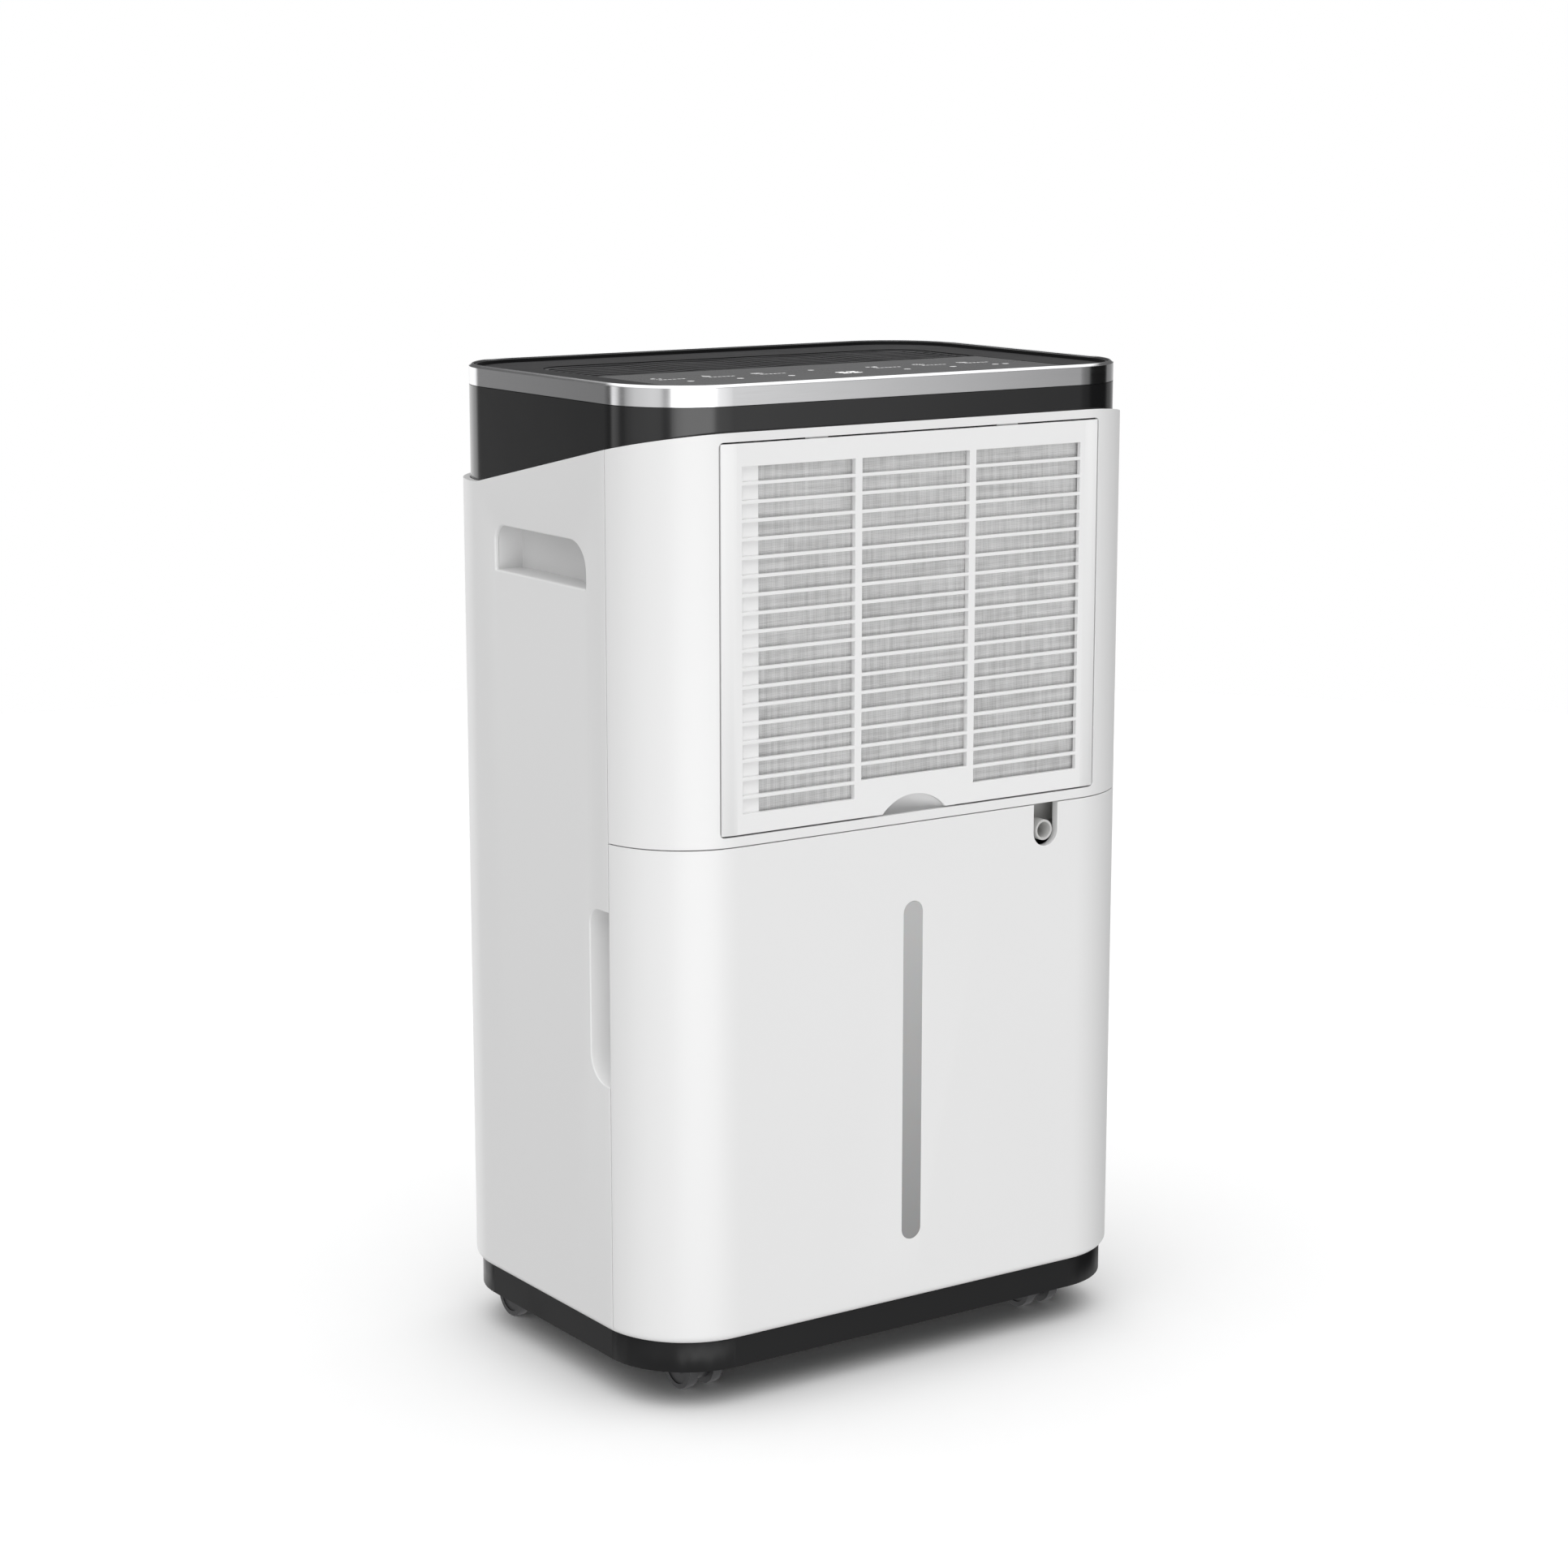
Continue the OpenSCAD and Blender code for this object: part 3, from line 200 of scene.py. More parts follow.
def woven_net(name, pitch=0.9 * MM):
    """Fine plain-weave net: warp and weft threads as crossed waves; the gaps between them are painted
    darker, as painted shade of the inside seen through the net.
    """
    material, g, shader, where = new_material(name)
    parts = g.add("ShaderNodeSeparateXYZ", {0: where})
    turns = 2 * math.pi / pitch
    warp_x = g.math("MULTIPLY", parts.outputs[0], turns)
    weft_z = g.math("MULTIPLY", parts.outputs[2], turns)
    warp = g.math("ABSOLUTE", g.math("SINE", g.math("MULTIPLY", warp_x, 0.5)))
    weft = g.math("ABSOLUTE", g.math("SINE", g.math("MULTIPLY", weft_z, 0.5)))
    over = g.math("MAXIMUM", warp, weft)
    hole = g.math("MULTIPLY", g.math("SUBTRACT", 1.0, warp), g.math("SUBTRACT", 1.0, weft))
    slubs = g.add("ShaderNodeTexNoise", {"Vector": g.add("ShaderNodeMapping",
                  {"Vector": where, "Scale": (1, 1, 0.07)}).outputs[0], "Scale": 420.0, "Detail": 2.0})
    cross = g.add("ShaderNodeTexNoise", {"Vector": g.add("ShaderNodeMapping",
                  {"Vector": where, "Scale": (0.07, 1, 1)}).outputs[0], "Scale": 420.0, "Detail": 2.0})
    uneven = g.math("ADD", slubs.outputs["Fac"], cross.outputs["Fac"])
    # The gaps (hole) are painted darker: painted shade of the dim inside behind the net.
    level = g.math("ADD", g.math("MULTIPLY", g.math("SUBTRACT", uneven, 1.0), 0.5),
                   g.math("SUBTRACT", 0.72, g.math("MULTIPLY", hole, 0.55)))
    g.tree.links.new(g.ramp(level, [(0.0, 0.20), (0.45, 0.48), (0.75, 0.68), (1.0, 0.80)]),
                     shader.inputs["Base Color"])
    bump = g.add("ShaderNodeBump", {"Height": over, "Strength": 0.5, "Distance": 0.0003})
    g.tree.links.new(bump.outputs[0], shader.inputs["Normal"])
    shader.inputs["Roughness"].default_value = 0.75
    return material


def level_window(name, low_z, high_z):
    """Smoked translucent strip, lighter towards the top."""
    material, g, shader, where = new_material(name)
    height = g.add("ShaderNodeSeparateXYZ", {0: where}).outputs[2]
    rise = g.add("ShaderNodeMapRange", {"Value": height, "From Min": low_z, "From Max": high_z})
    haze = g.add("ShaderNodeTexNoise", {"Vector": where, "Scale": 60.0, "Detail": 3.0})
    mixed = g.math("ADD", rise.outputs[0],
                   g.math("MULTIPLY", g.math("SUBTRACT", haze.outputs["Fac"], 0.5), 0.06))
    g.tree.links.new(g.ramp(mixed, [(0.0, 0.28), (1.0, 0.50)]), shader.inputs["Base Color"])
    grain = g.add("ShaderNodeTexNoise", {"Vector": where, "Scale": 2200.0})
    bump = g.add("ShaderNodeBump", {"Height": grain.outputs["Fac"], "Strength": 0.015,
                                    "Distance": 0.0003})
    g.tree.links.new(bump.outputs[0], shader.inputs["Normal"])
    shader.inputs["Roughness"].default_value = 0.32
    shader.inputs["Subsurface Weight"].default_value = 0.2
    shader.inputs["Subsurface Scale"].default_value = 0.004
    return material


def circuit_board(name):
    """Green solder mask with darker tracks."""
    material, g, shader, where = new_material(name)
    tracks = g.add("ShaderNodeTexBrick", {"Vector": where, "Scale": 160.0, "Mortar Size": 0.03,
                                          "Color1": (0.03, 0.19, 0.09, 1),
                                          "Color2": (0.02, 0.15, 0.07, 1),
                                          "Mortar": (0.07, 0.32, 0.16, 1)})
    g.tree.links.new(tracks.outputs["Color"], shader.inputs["Base Color"])
    bump = g.add("ShaderNodeBump", {"Height": tracks.outputs["Fac"], "Strength": 0.1,
                                    "Distance": 0.0002})
    g.tree.links.new(bump.outputs[0], shader.inputs["Normal"])
    shader.inputs["Roughness"].default_value = 0.35
    return material


def lit_segments(name):
    """Glowing white display segments with slight unevenness."""
    material, g, shader, where = new_material(name)
    cloud = g.add("ShaderNodeTexNoise", {"Vector": where, "Scale": 900.0})
    glow = g.add("ShaderNodeMapRange", {"Value": cloud.outputs["Fac"], "To Min": 0.75, "To Max": 1.05})
    g.tree.links.new(glow.outputs[0], shader.inputs["Emission Strength"])
    bump = g.add("ShaderNodeBump", {"Height": cloud.outputs["Fac"], "Strength": 0.05,
                                    "Distance": 0.0002})
    g.tree.links.new(bump.outputs[0], shader.inputs["Normal"])
    shader.inputs["Emission Color"].default_value = (1, 1, 1, 1)
    shader.inputs["Base Color"].default_value = (0.8, 0.8, 0.8, 1)
    shader.inputs["Roughness"].default_value = 0.4
    return material


WHITE = moulded("white_abs", (0.83, 0.83, 0.83), roughness=0.33, depth=0.012, drift=0.008, coat=0.12,
                coat_roughness=0.18, spread=0.012)
FILTER_WHITE = moulded("filter_white_abs", (0.86, 0.86, 0.86), roughness=0.42, depth=0.015, drift=0.008,
                       spread=0.012)
NET = woven_net("filter_net_weave")
BAND_BLACK = moulded("gloss_black_abs", (0.009, 0.009, 0.0095), roughness=0.14, depth=0.004, drift=0.05,
                     coat=0.2, coat_roughness=0.08, spread=0.03)
DECK_BLACK = moulded("satin_black_abs", (0.03, 0.03, 0.031), roughness=0.5, depth=0.03, drift=0.08,
                     specular=0.1)
LOUVRE_BLACK = moulded("louvre_black_abs", (0.05, 0.05, 0.052), roughness=0.4, depth=0.03, drift=0.08)
SILVER = metal("silver_plating", (0.74, 0.74, 0.75), roughness=0.13, grain=(0.02, 0.02, 1), scale=2600,
               depth=0.006, drift=0.02)
PANEL_GREY = moulded("touch_film", (0.095, 0.095, 0.098), roughness=0.3, depth=0.01, drift=0.03,
                     coat=0.3)
ICON_WHITE = moulded("printed_white", (0.85, 0.85, 0.85), roughness=0.5, depth=0.01, drift=0.02)
DISPLAY_LIT = lit_segments("display_segments")
BASE_BLACK = moulded("base_black_abs", (0.006, 0.006, 0.0065), roughness=0.36, depth=0.05, drift=0.1,
                     grain=0.5 * MM, specular=0.3)
GRIP_WHITE = moulded("grip_white_abs", (0.76, 0.76, 0.76), roughness=0.45, depth=0.03, drift=0.02)
INNER = moulded("inner_grey_abs", (0.55, 0.55, 0.54), roughness=0.5, depth=0.04, drift=0.04)
TUB = moulded("tub_polypropylene", (0.70, 0.71, 0.72), roughness=0.38, depth=0.02, drift=0.03)
WINDOW = level_window("smoked_window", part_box("bucket_window")[0][2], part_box("bucket_window")[1][2])
HANDLE_GREY = moulded("handle_grey", (0.27, 0.27, 0.28), roughness=0.45, depth=0.05)
FLOAT_ORANGE = moulded("float_foam", (0.78, 0.42, 0.12), roughness=0.7, grain=0.8 * MM, depth=0.3)
FIN_METAL = metal("fin_aluminium", (0.82, 0.83, 0.84), roughness=0.3, grain=(1, 1, 0.05))
COPPER = metal("copper_tube", (0.72, 0.38, 0.22), roughness=0.28, drift=0.2)
SHELL_BLACK = moulded("black_enamel", (0.02, 0.02, 0.02), roughness=0.3, depth=0.08,
                      grain=1.2 * MM, coat=0.4)
MOTOR_GREY = moulded("motor_enamel", (0.3, 0.31, 0.32), roughness=0.4, depth=0.08, grain=1.0 * MM)
STEEL = metal("zinc_steel", (0.62, 0.63, 0.64), roughness=0.28, drift=0.1)
RUBBER = moulded("soft_rubber", (0.02, 0.02, 0.02), roughness=0.75, depth=0.15, drift=0.1)
BOARD = circuit_board("solder_mask")
SMALL_BLACK = moulded("small_black_parts", (0.03, 0.03, 0.03), roughness=0.5, depth=0.05)
CASTER_BLACK = moulded("caster_nylon", (0.03, 0.03, 0.031), roughness=0.45, depth=0.06, drift=0.1)
WHEEL_GREY = moulded("caster_wheel_grey", (0.045, 0.045, 0.047), roughness=0.5, depth=0.12, drift=0.15,
                     grain=0.5 * MM)

LOOKS = {
    "rear_housing": WHITE, "front_panel": WHITE, "bucket_front": WHITE,
    "filter_frame": FILTER_WHITE, "filter_mesh": NET,
    "top_surround": BAND_BLACK, "silver_trim": SILVER, "control_panel": PANEL_GREY,
    "outlet_grille": LOUVRE_BLACK, "base_pan": BASE_BLACK, "cord_gland": RUBBER,
    "grip_cup_left": GRIP_WHITE, "grip_cup_right": GRIP_WHITE, "housing_screws": STEEL,
    "partition": INNER, "drip_tray": INNER, "fan_scroll": INNER, "electrical_box": INNER,
    "bucket_lid": INNER, "bucket_tub": TUB, "bucket_window": WINDOW, "bucket_handle": HANDLE_GREY,
    "bucket_float": FLOAT_ORANGE, "fan_impeller": HANDLE_GREY,
    "evaporator_fins": FIN_METAL, "condenser_fins": FIN_METAL,
    "evaporator_tubes": COPPER, "condenser_tubes": COPPER, "suction_line": COPPER,
    "discharge_line": COPPER, "capillary_tube": COPPER, "filter_drier": COPPER,
    "compressor_shell": SHELL_BLACK, "accumulator": SHELL_BLACK, "fan_motor": MOTOR_GREY,
    "compressor_studs": STEEL, "fan_shaft": STEEL, "run_capacitor": STEEL,
    "compressor_grommets": RUBBER, "control_board": BOARD, "main_board": BOARD,
    "terminal_cover": SMALL_BLACK, "level_switch": SMALL_BLACK, "humidity_sensor": GRIP_WHITE,
}


def look_of(node):
    if node in LOOKS:
        return LOOKS[node]
    if node.endswith("pins"):
        return STEEL
    return WHEEL_GREY if "wheel" in node else CASTER_BLACK


def dress_cad_nodes():
    """Gives each CAD node its material and softens its edges."""
    for name, piece in nodes.items():
        piece.data.materials.clear()
        piece.data.materials.append(look_of(name))
        soften(piece, 0.3 * MM)


def soften(piece, width, angle=35, segments=2):
    """Rounds sharp edges a little and keeps large faces flat in shading."""
    weld = piece.modifiers.new("weld", "WELD")
    weld.merge_threshold = 0.00001
    bevel = piece.modifiers.new("soft_edges", "BEVEL")
    bevel.width = width
    bevel.segments = segments
    bevel.limit_method = "ANGLE"
    bevel.angle_limit = math.radians(angle)
    bevel.harden_normals = True
    bevel.use_clamp_overlap = True


# ---------------------------------------------------------------- mesh helpers

def add_piece(name, mesh, material, body, *replaced):
    piece = bpy.data.objects.new(name, mesh)
    bpy.context.scene.collection.objects.link(piece)
    mesh.materials.clear()
    mesh.materials.append(material)
    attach(piece, body)
    if replaced:
        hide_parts(*replaced)
    return piece


def mesh_from(name, bm):
    bmesh.ops.recalc_face_normals(bm, faces=bm.faces)
    mesh = bpy.data.meshes.new(name)
    bm.to_mesh(mesh)
    bm.free()
    return mesh


def shade_by_angle(mesh, degrees=30):
    """Smooth faces, with sharp edges where faces meet at more than the angle."""
    for face in mesh.polygons:
        face.use_smooth = True
    mesh.set_sharp_from_angle(angle=math.radians(degrees))


def prism(points, axis, low, high):
    """Closed prism: 2-D points (the two other axes, in X, Y, Z order) from low to high on axis."""
    bm = bmesh.new()

    def lift(point, value):
        place = list(point)
        place.insert(axis, value)
        return bm.verts.new(place)

    rings = [[lift(point, value) for point in points] for value in (low, high)]
    count = len(points)
    bm.faces.new(rings[0])
    bm.faces.new(rings[1])
    for i in range(count):
        j = (i + 1) % count
        bm.faces.new((rings[0][i], rings[0][j], rings[1][j], rings[1][i]))
    bmesh.ops.recalc_face_normals(bm, faces=bm.faces)
    return bm


def arc(centre, radius, start, stop, steps):
    """Points on an arc, in degrees, both ends included."""
    turns = [math.radians(start + (stop - start) * i / steps) for i in range(steps + 1)]
    return [(centre[0] + radius * math.cos(t), centre[1] + radius * math.sin(t)) for t in turns]


def rounded_box_points(x0, x1, z0, z1, radii, steps=8):
    """Rounded rectangle, radii in the order low-left, low-right, high-right, high-left."""
    corners = [(x0, z0, 180), (x1, z0, 270), (x1, z1, 0), (x0, z1, 90)]
    points = []
    for (x, z, start), r in zip(corners, radii):
        if r <= 0:
            points.append((x, z))
            continue
        centre = (x + (r if x == x0 else -r), z + (r if z == z0 else -r))
        points += arc(centre, r, start, start + 90, steps)
    return points


def boolean(mesh, cutter_bm, operation):
    """Cuts or joins a closed bmesh into a mesh and returns the new mesh."""
    cutter = bpy.data.objects.new("cutter", mesh_from("cutter", cutter_bm))
    target = bpy.data.objects.new("target", mesh)
    for thing in (cutter, target):
        bpy.context.scene.collection.objects.link(thing)
    step = target.modifiers.new("cut", "BOOLEAN")
    step.operation = operation
    step.object = cutter
    step.solver = "EXACT"
    graph = bpy.context.evaluated_depsgraph_get()
    result = bpy.data.meshes.new_from_object(target.evaluated_get(graph))
    for thing in (cutter, target):
        bpy.data.objects.remove(thing)
    return result


def round_edges(mesh, chosen, offset, segments=4):
    """Bevels the edges for which chosen(edge) is true."""
    bm = bmesh.new()
    bm.from_mesh(mesh)
    bmesh.ops.remove_doubles(bm, verts=bm.verts, dist=1e-6)
    edges = [e for e in bm.edges if len(e.link_faces) == 2 and chosen(e)]
    bmesh.ops.bevel(bm, geom=edges, offset=offset, offset_type="OFFSET", segments=segments,
                    profile=0.5, affect="EDGES", clamp_overlap=True)
    bm.to_mesh(mesh)
    bm.free()


# ---------------------------------------------------------------- body outline

def shoulder_z(y):
    """Height of the white body's upper edge."""
    if y >= SHOULDER_Y:
        return SHOULDER_REAR_Z
    slope = (SHOULDER_REAR_Z - SHOULDER_FRONT_Z) / (SHOULDER_Y + REAR)
    return SHOULDER_FRONT_Z + slope * (y + REAR)


def corner_points(sx, sy, inset, start, stop, steps):
    """Arc of one vertical corner in plan; angles in degrees from the side towards front or rear."""
    r = CORNER_R - inset
    cx = sx * (SIDE - CORNER_R)
    cy = sy * (REAR - CORNER_R)
    turns = [math.radians(start + (stop - start) * i / steps) for i in range(steps + 1)]
    return [(cx + sx * r * math.cos(t), cy + sy * r * math.sin(t)) for t in turns]


def straight(a, b):
    """Points between a and b, two of them close to the ends so that the flat shades as a flat."""
    shares = (0.004, 0.25, 0.5, 0.75, 0.996)
    return [(a[0] + (b[0] - a[0]) * t, a[1] + (b[1] - a[1]) * t) for t in shares]


def joined(*runs):
    """Corner runs joined by straight stretches."""
    points = []
    for run in runs:
        if points:
            points += straight(points[-1], run[0])
        points += run
    return points


def seam_angle(inset, seam_y):
    """Angle along the front corner's arc at which a vertical seam cuts it."""
    return math.degrees(math.asin((-seam_y - (REAR - CORNER_R)) / (CORNER_R - inset)))


def front_outline(inset, steps=40):
    """From the left seam round the front to the right seam."""
    a = seam_angle(inset, FRONT_SEAM_Y)
    return joined(corner_points(-1, -1, inset, a, 90, steps),
                  corner_points(1, -1, inset, 90, a, steps))


def rear_outline(inset, steps=40):
    """From the right seam round the rear to the left seam."""
    a = seam_angle(inset, REAR_SEAM_Y)
    return joined(corner_points(1, -1, inset, a, 0, 3), corner_points(1, 1, inset, 0, 90, steps),
                  corner_points(-1, 1, inset, 90, 0, steps), corner_points(-1, -1, inset, 0, a, 3))


def full_outline(inset, steps=40):
    """All the way round."""
    return joined(corner_points(-1, -1, inset, 0, 90, steps), corner_points(1, -1, inset, 90, 0, steps),
                  corner_points(1, 1, inset, 0, 90, steps), corner_points(-1, 1, inset, 90, 0, steps))


def sweep(section, outline, closed):
    """Closed solid swept round the plan. section is a ring of (inset, height or function of y)."""
    bm = bmesh.new()
    rings = []
    for inset, height in section:
        level = height if callable(height) else (lambda y, h=height: h)
        rings.append([bm.verts.new((x, y, level(y))) for x, y in outline(inset)])
    count = len(rings[0])
    for k, ring in enumerate(rings):
        above = rings[(k + 1) % len(rings)]
        for i in range(count if closed else count - 1):
            j = (i + 1) % count
            bm.faces.new((ring[i], ring[j], above[j], above[i]))
    if not closed:
        bm.faces.new([ring[0] for ring in rings])
        bm.faces.new([ring[-1] for ring in rings])
    bmesh.ops.recalc_face_normals(bm, faces=bm.faces)
    return bm


def bottom_fillet(steps=6):
    """Section points of the rounded lower edge, from underneath to the wall."""
    turns = [math.radians(90 * i / steps) for i in range(steps + 1)]
    return [(BOTTOM_R * (1 - math.sin(t)), WHITE_Z + BOTTOM_R * (1 - math.cos(t))) for t in turns]


LOWER_WALL = [(SHELL_T, WHITE_Z + LIP_T), (LIP_INSET, WHITE_Z + LIP_T), (LIP_INSET, WHITE_Z)]
UPPER_LIP = TOP_INSET - GAP
UPPER_EDGE = [(0, shoulder_z), (UPPER_LIP, shoulder_z),
              (UPPER_LIP, lambda y: shoulder_z(y) - LIP_T),
              (SHELL_T, lambda y: shoulder_z(y) - LIP_T)]


def white_piece(name, mesh, node, body):
    """White moulding that takes the place of a CAD node."""
    shade_by_angle(mesh)
    soften(add_piece(name, mesh, WHITE, body, node), 0.35 * MM)


def inner_plate(x0, x1, y0, y1, z0, z1):
    """Plain plate or rib on the inside of a moulding."""
    return prism([(x0, y0), (x1, y0), (x1, y1), (x0, y1)], 2, z0, z1)


def append(mesh, bm_part):
    """Adds a closed part to a mesh without cutting it."""
    bm = bmesh.new()
    bm.from_mesh(mesh)
    extra = bpy.data.meshes.new("extra")
    bm_part.to_mesh(extra)
    bm_part.free()
    bm.from_mesh(extra)
    bpy.data.meshes.remove(extra)
    bm.to_mesh(mesh)
    bm.free()
    return mesh


def near(value, target, tolerance=0.05 * MM):
    return abs(value - target) < tolerance


# ---------------------------------------------------------------- rear housing

GRIP = {"y0": -57 * MM, "y1": 49 * MM, "z0": 493.5 * MM, "z1": 521.2 * MM}
GRIP_RADII = [1.2 * MM, 1.2 * MM, 10 * MM, 18 * MM]
GRIP_DEPTH = 8 * MM
GRIP_ROUND = 1.3 * MM
PULL = {"y1": -57.4 * MM, "z0": 196.6 * MM, "z1": 303.4 * MM, "depth": 14.5 * MM}
PULL_LOW_R, PULL_HIGH_R = 18 * MM, 10 * MM
PULL_WALL = 2 * MM
PULL_SKIN = 1.2 * MM
PULL_ROUND = 2.2 * MM
RIM_TURN = 0.8
GLAND_R = 9.05 * MM
REAR_SCREW_X, REAR_SCREW_Z = 100 * MM, 60 * MM
SHANK_R, HEAD_R = 2 * MM, 4.2 * MM
HOLE_DEPTH, HEAD_DEPTH = 8 * MM, 1.4 * MM


def mirrored(sign, low, high):
    return (low, high) if sign > 0 else (-high, -low)


def pull_points(grow, y0):
    """Side view of a pull pocket, open at its front end."""
    low_r, high_r = PULL_LOW_R + grow, PULL_HIGH_R + grow
    return rounded_box_points(y0, PULL["y1"] + grow, PULL["z0"] - grow, PULL["z1"] + grow,
                              [0, low_r, high_r, 0], 10)


def build_rear_housing():
    mesh = mesh_from("rear_housing_shell", sweep(bottom_fillet() + UPPER_EDGE + LOWER_WALL,
                                                 rear_outline, closed=False))
    grip = rounded_box_points(GRIP["y0"], GRIP["y1"], GRIP["z0"], GRIP["z1"], GRIP_RADII, 10)
    for sign in (-1, 1):
        block = mirrored(sign, SIDE - PULL["depth"] - PULL_WALL, SIDE - PULL_SKIN)
        mesh = boolean(mesh, prism(pull_points(PULL_WALL, REAR_SEAM_Y), 0, *block), "UNION")
        pocket = mirrored(sign, SIDE - PULL["depth"], SIDE + CUT)
        mesh = boolean(mesh, prism(pull_points(0, REAR_SEAM_Y - MM), 0, *pocket), "DIFFERENCE")
        mouth = mirrored(sign, SIDE - GRIP_DEPTH, SIDE + CUT)
        mesh = boolean(mesh, prism(grip, 0, *mouth), "DIFFERENCE")
    round_edges(mesh, on_grip_rim, GRIP_ROUND)
    round_edges(mesh, on_pull_rim, PULL_ROUND, 5)
    for x, z, radius, low in housing_holes():
        hole = arc((x, z), radius, 0, 345, 23)
        mesh = boolean(mesh, prism(hole, 1, low, REAR + CUT), "DIFFERENCE")
    white_piece("rear_housing_shell", mesh, "rear_housing", "housing")


def between(place, y0, y1, box):
    """Whether a point lies between two depths and within a millimetre of a box's heights."""
    return y0 < place.y < y1 and box["z0"] - MM < place.z < box["z1"] + MM


def on_grip_rim(edge):
    a, b = (v.co for v in edge.verts)
    on_side = near(abs(a.x), SIDE) and near(abs(b.x), SIDE)
    inside = between((a + b) / 2, GRIP["y0"] - MM, GRIP["y1"] + MM, GRIP)
    return on_side and inside and edge.calc_face_angle() > RIM_TURN


def on_pull_rim(edge):
    a, b = (v.co for v in edge.verts)
    outer = min(abs(a.x), abs(b.x)) > SIDE - 0.8 * MM
    inside = between((a + b) / 2, REAR_SEAM_Y + 0.01 * MM, PULL["y1"] + MM, PULL)
    return outer and inside and edge.calc_face_angle() > RIM_TURN


def housing_holes():
    """Round holes in the rear wall: x, z, radius and how deep each one starts."""
    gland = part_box("cord_gland")
    gland_x = (gland[0][0] + gland[1][0]) / 2
    gland_z = (gland[0][2] + gland[1][2]) / 2
    through = REAR - HOLE_DEPTH
    holes = [(gland_x, gland_z, GLAND_R, through)]
    for x in (-REAR_SCREW_X, REAR_SCREW_X):
        holes.append((x, REAR_SCREW_Z, SHANK_R, through))
        holes.append((x, REAR_SCREW_Z, HEAD_R, REAR - HEAD_DEPTH))
    return holes


# ---------------------------------------------------------------- front panel

FILTER = {"x": 139.5 * MM, "z0": 351.6 * MM, "z1": 582.5 * MM}
FILTER_R = 3 * MM
RIB_NEAR, RIB_FAR = 0.6 * MM, 3 * MM
RIB_FRONT_Y = -REAR + 3.2 * MM
RIB_REAR_Y = -REAR + 16 * MM
RIB_TOP_Z = 576 * MM
SHELF_PAST = 2 * MM
FLANGE_T = 2.4 * MM
FLANGE_INNER, FLANGE_OUTER = SIDE - 14 * MM, SIDE - 1.6 * MM
FLANGE_TOP_Z = 555 * MM
SCOOP_HALF = 34 * MM
SCOOP_LOW_Z, SCOOP_HIGH_Z = PANEL_LOW_Z + MM, FILTER["z0"] + 18 * MM
SCOOP_FRONT_Y = -REAR + 4.4 * MM
SCOOP_R = 36 * MM
SCOOP_Y, SCOOP_Z = -REAR - 22 * MM, FILTER["z0"] + 2 * MM


def build_front_panel():
    wall = [(0, PANEL_LOW_Z)] + UPPER_EDGE + [(SHELL_T, PANEL_LOW_Z)]
    mesh = mesh_from("front_panel_shell", sweep(wall, front_outline, closed=False))
    x, z0, z1 = FILTER["x"], FILTER["z0"], FILTER["z1"]
    opening = rounded_box_points(-x, x, z0, z1, [FILTER_R] * 4, 5)
    mesh = boolean(mesh, prism(opening, 1, -REAR - CUT, -REAR + 4 * MM), "DIFFERENCE")
    for sign in (-1, 1):
        append(mesh, inner_plate(*mirrored(sign, x + RIB_NEAR, x + RIB_FAR), RIB_FRONT_Y, RIB_REAR_Y,
                                 PANEL_LOW_Z, RIB_TOP_Z))
        append(mesh, edge_flange(sign, PANEL_LOW_Z, FLANGE_TOP_Z))
    append(mesh, inner_plate(-x - SHELF_PAST, x + SHELF_PAST, -REAR + SHELL_T, RIB_REAR_Y, PANEL_LOW_Z,
                             PANEL_LOW_Z + FLANGE_T))
    append(mesh, thumb_scoop())
    white_piece("front_panel_shell", mesh, "front_panel", "housing")


def edge_flange(sign, z0, z1):
    """Return flange along the rear edge of a front moulding."""
    across = mirrored(sign, FLANGE_INNER, FLANGE_OUTER)
    return inner_plate(*across, FRONT_SEAM_Y - FLANGE_T, FRONT_SEAM_Y, z0, z1)


def thumb_scoop(columns=24, rows=12):
    """Dished block behind the notch of the filter grille, a smooth bowl in its front face."""
    bm = bmesh.new()

    def depth(x, z):
        flat = SCOOP_R ** 2 - x ** 2 - (z - SCOOP_Z) ** 2
        return max(SCOOP_FRONT_Y, SCOOP_Y + math.sqrt(max(flat, 0)))

    grid = []
    for k in range(rows + 1):
        z = SCOOP_LOW_Z + (SCOOP_HIGH_Z - SCOOP_LOW_Z) * k / rows
        across = [SCOOP_HALF * (2 * i / columns - 1) for i in range(columns + 1)]
        grid.append([bm.verts.new((x, depth(x, z), z)) for x in across])
    for k in range(rows):
        for i in range(columns):
            bm.faces.new((grid[k][i], grid[k][i + 1], grid[k + 1][i + 1], grid[k + 1][i]))
    border = grid[0] + [row[-1] for row in grid[1:]] + grid[-1][-2::-1]
    border += [row[0] for row in grid[-2:0:-1]]
    rear = [bm.verts.new((v.co.x, RIB_REAR_Y, v.co.z)) for v in border]
    for i in range(len(border)):
        j = (i + 1) % len(border)
        bm.faces.new((border[i], border[j], rear[j], rear[i]))
    bm.faces.new(rear)
    bmesh.ops.recalc_face_normals(bm, faces=bm.faces)
    return bm


# ---------------------------------------------------------------- bucket front

WINDOW_R = 7.15 * MM
WINDOW_MID_Z = 188.9 * MM
WINDOW_H = 214.8 * MM
NOTCH = {"x": 101.6 * MM, "r": 9.35 * MM, "z": 318.2 * MM}
NOTCH_WALL = 2 * MM
NOTCH_RIM_Y = (-REAR + 2 * MM, -REAR + 5.5 * MM)
STIFFENER_X = (30 * MM, 80 * MM)
STIFFENER_HALF = 1.2 * MM
STIFFENER_Z = (60 * MM, 272 * MM)


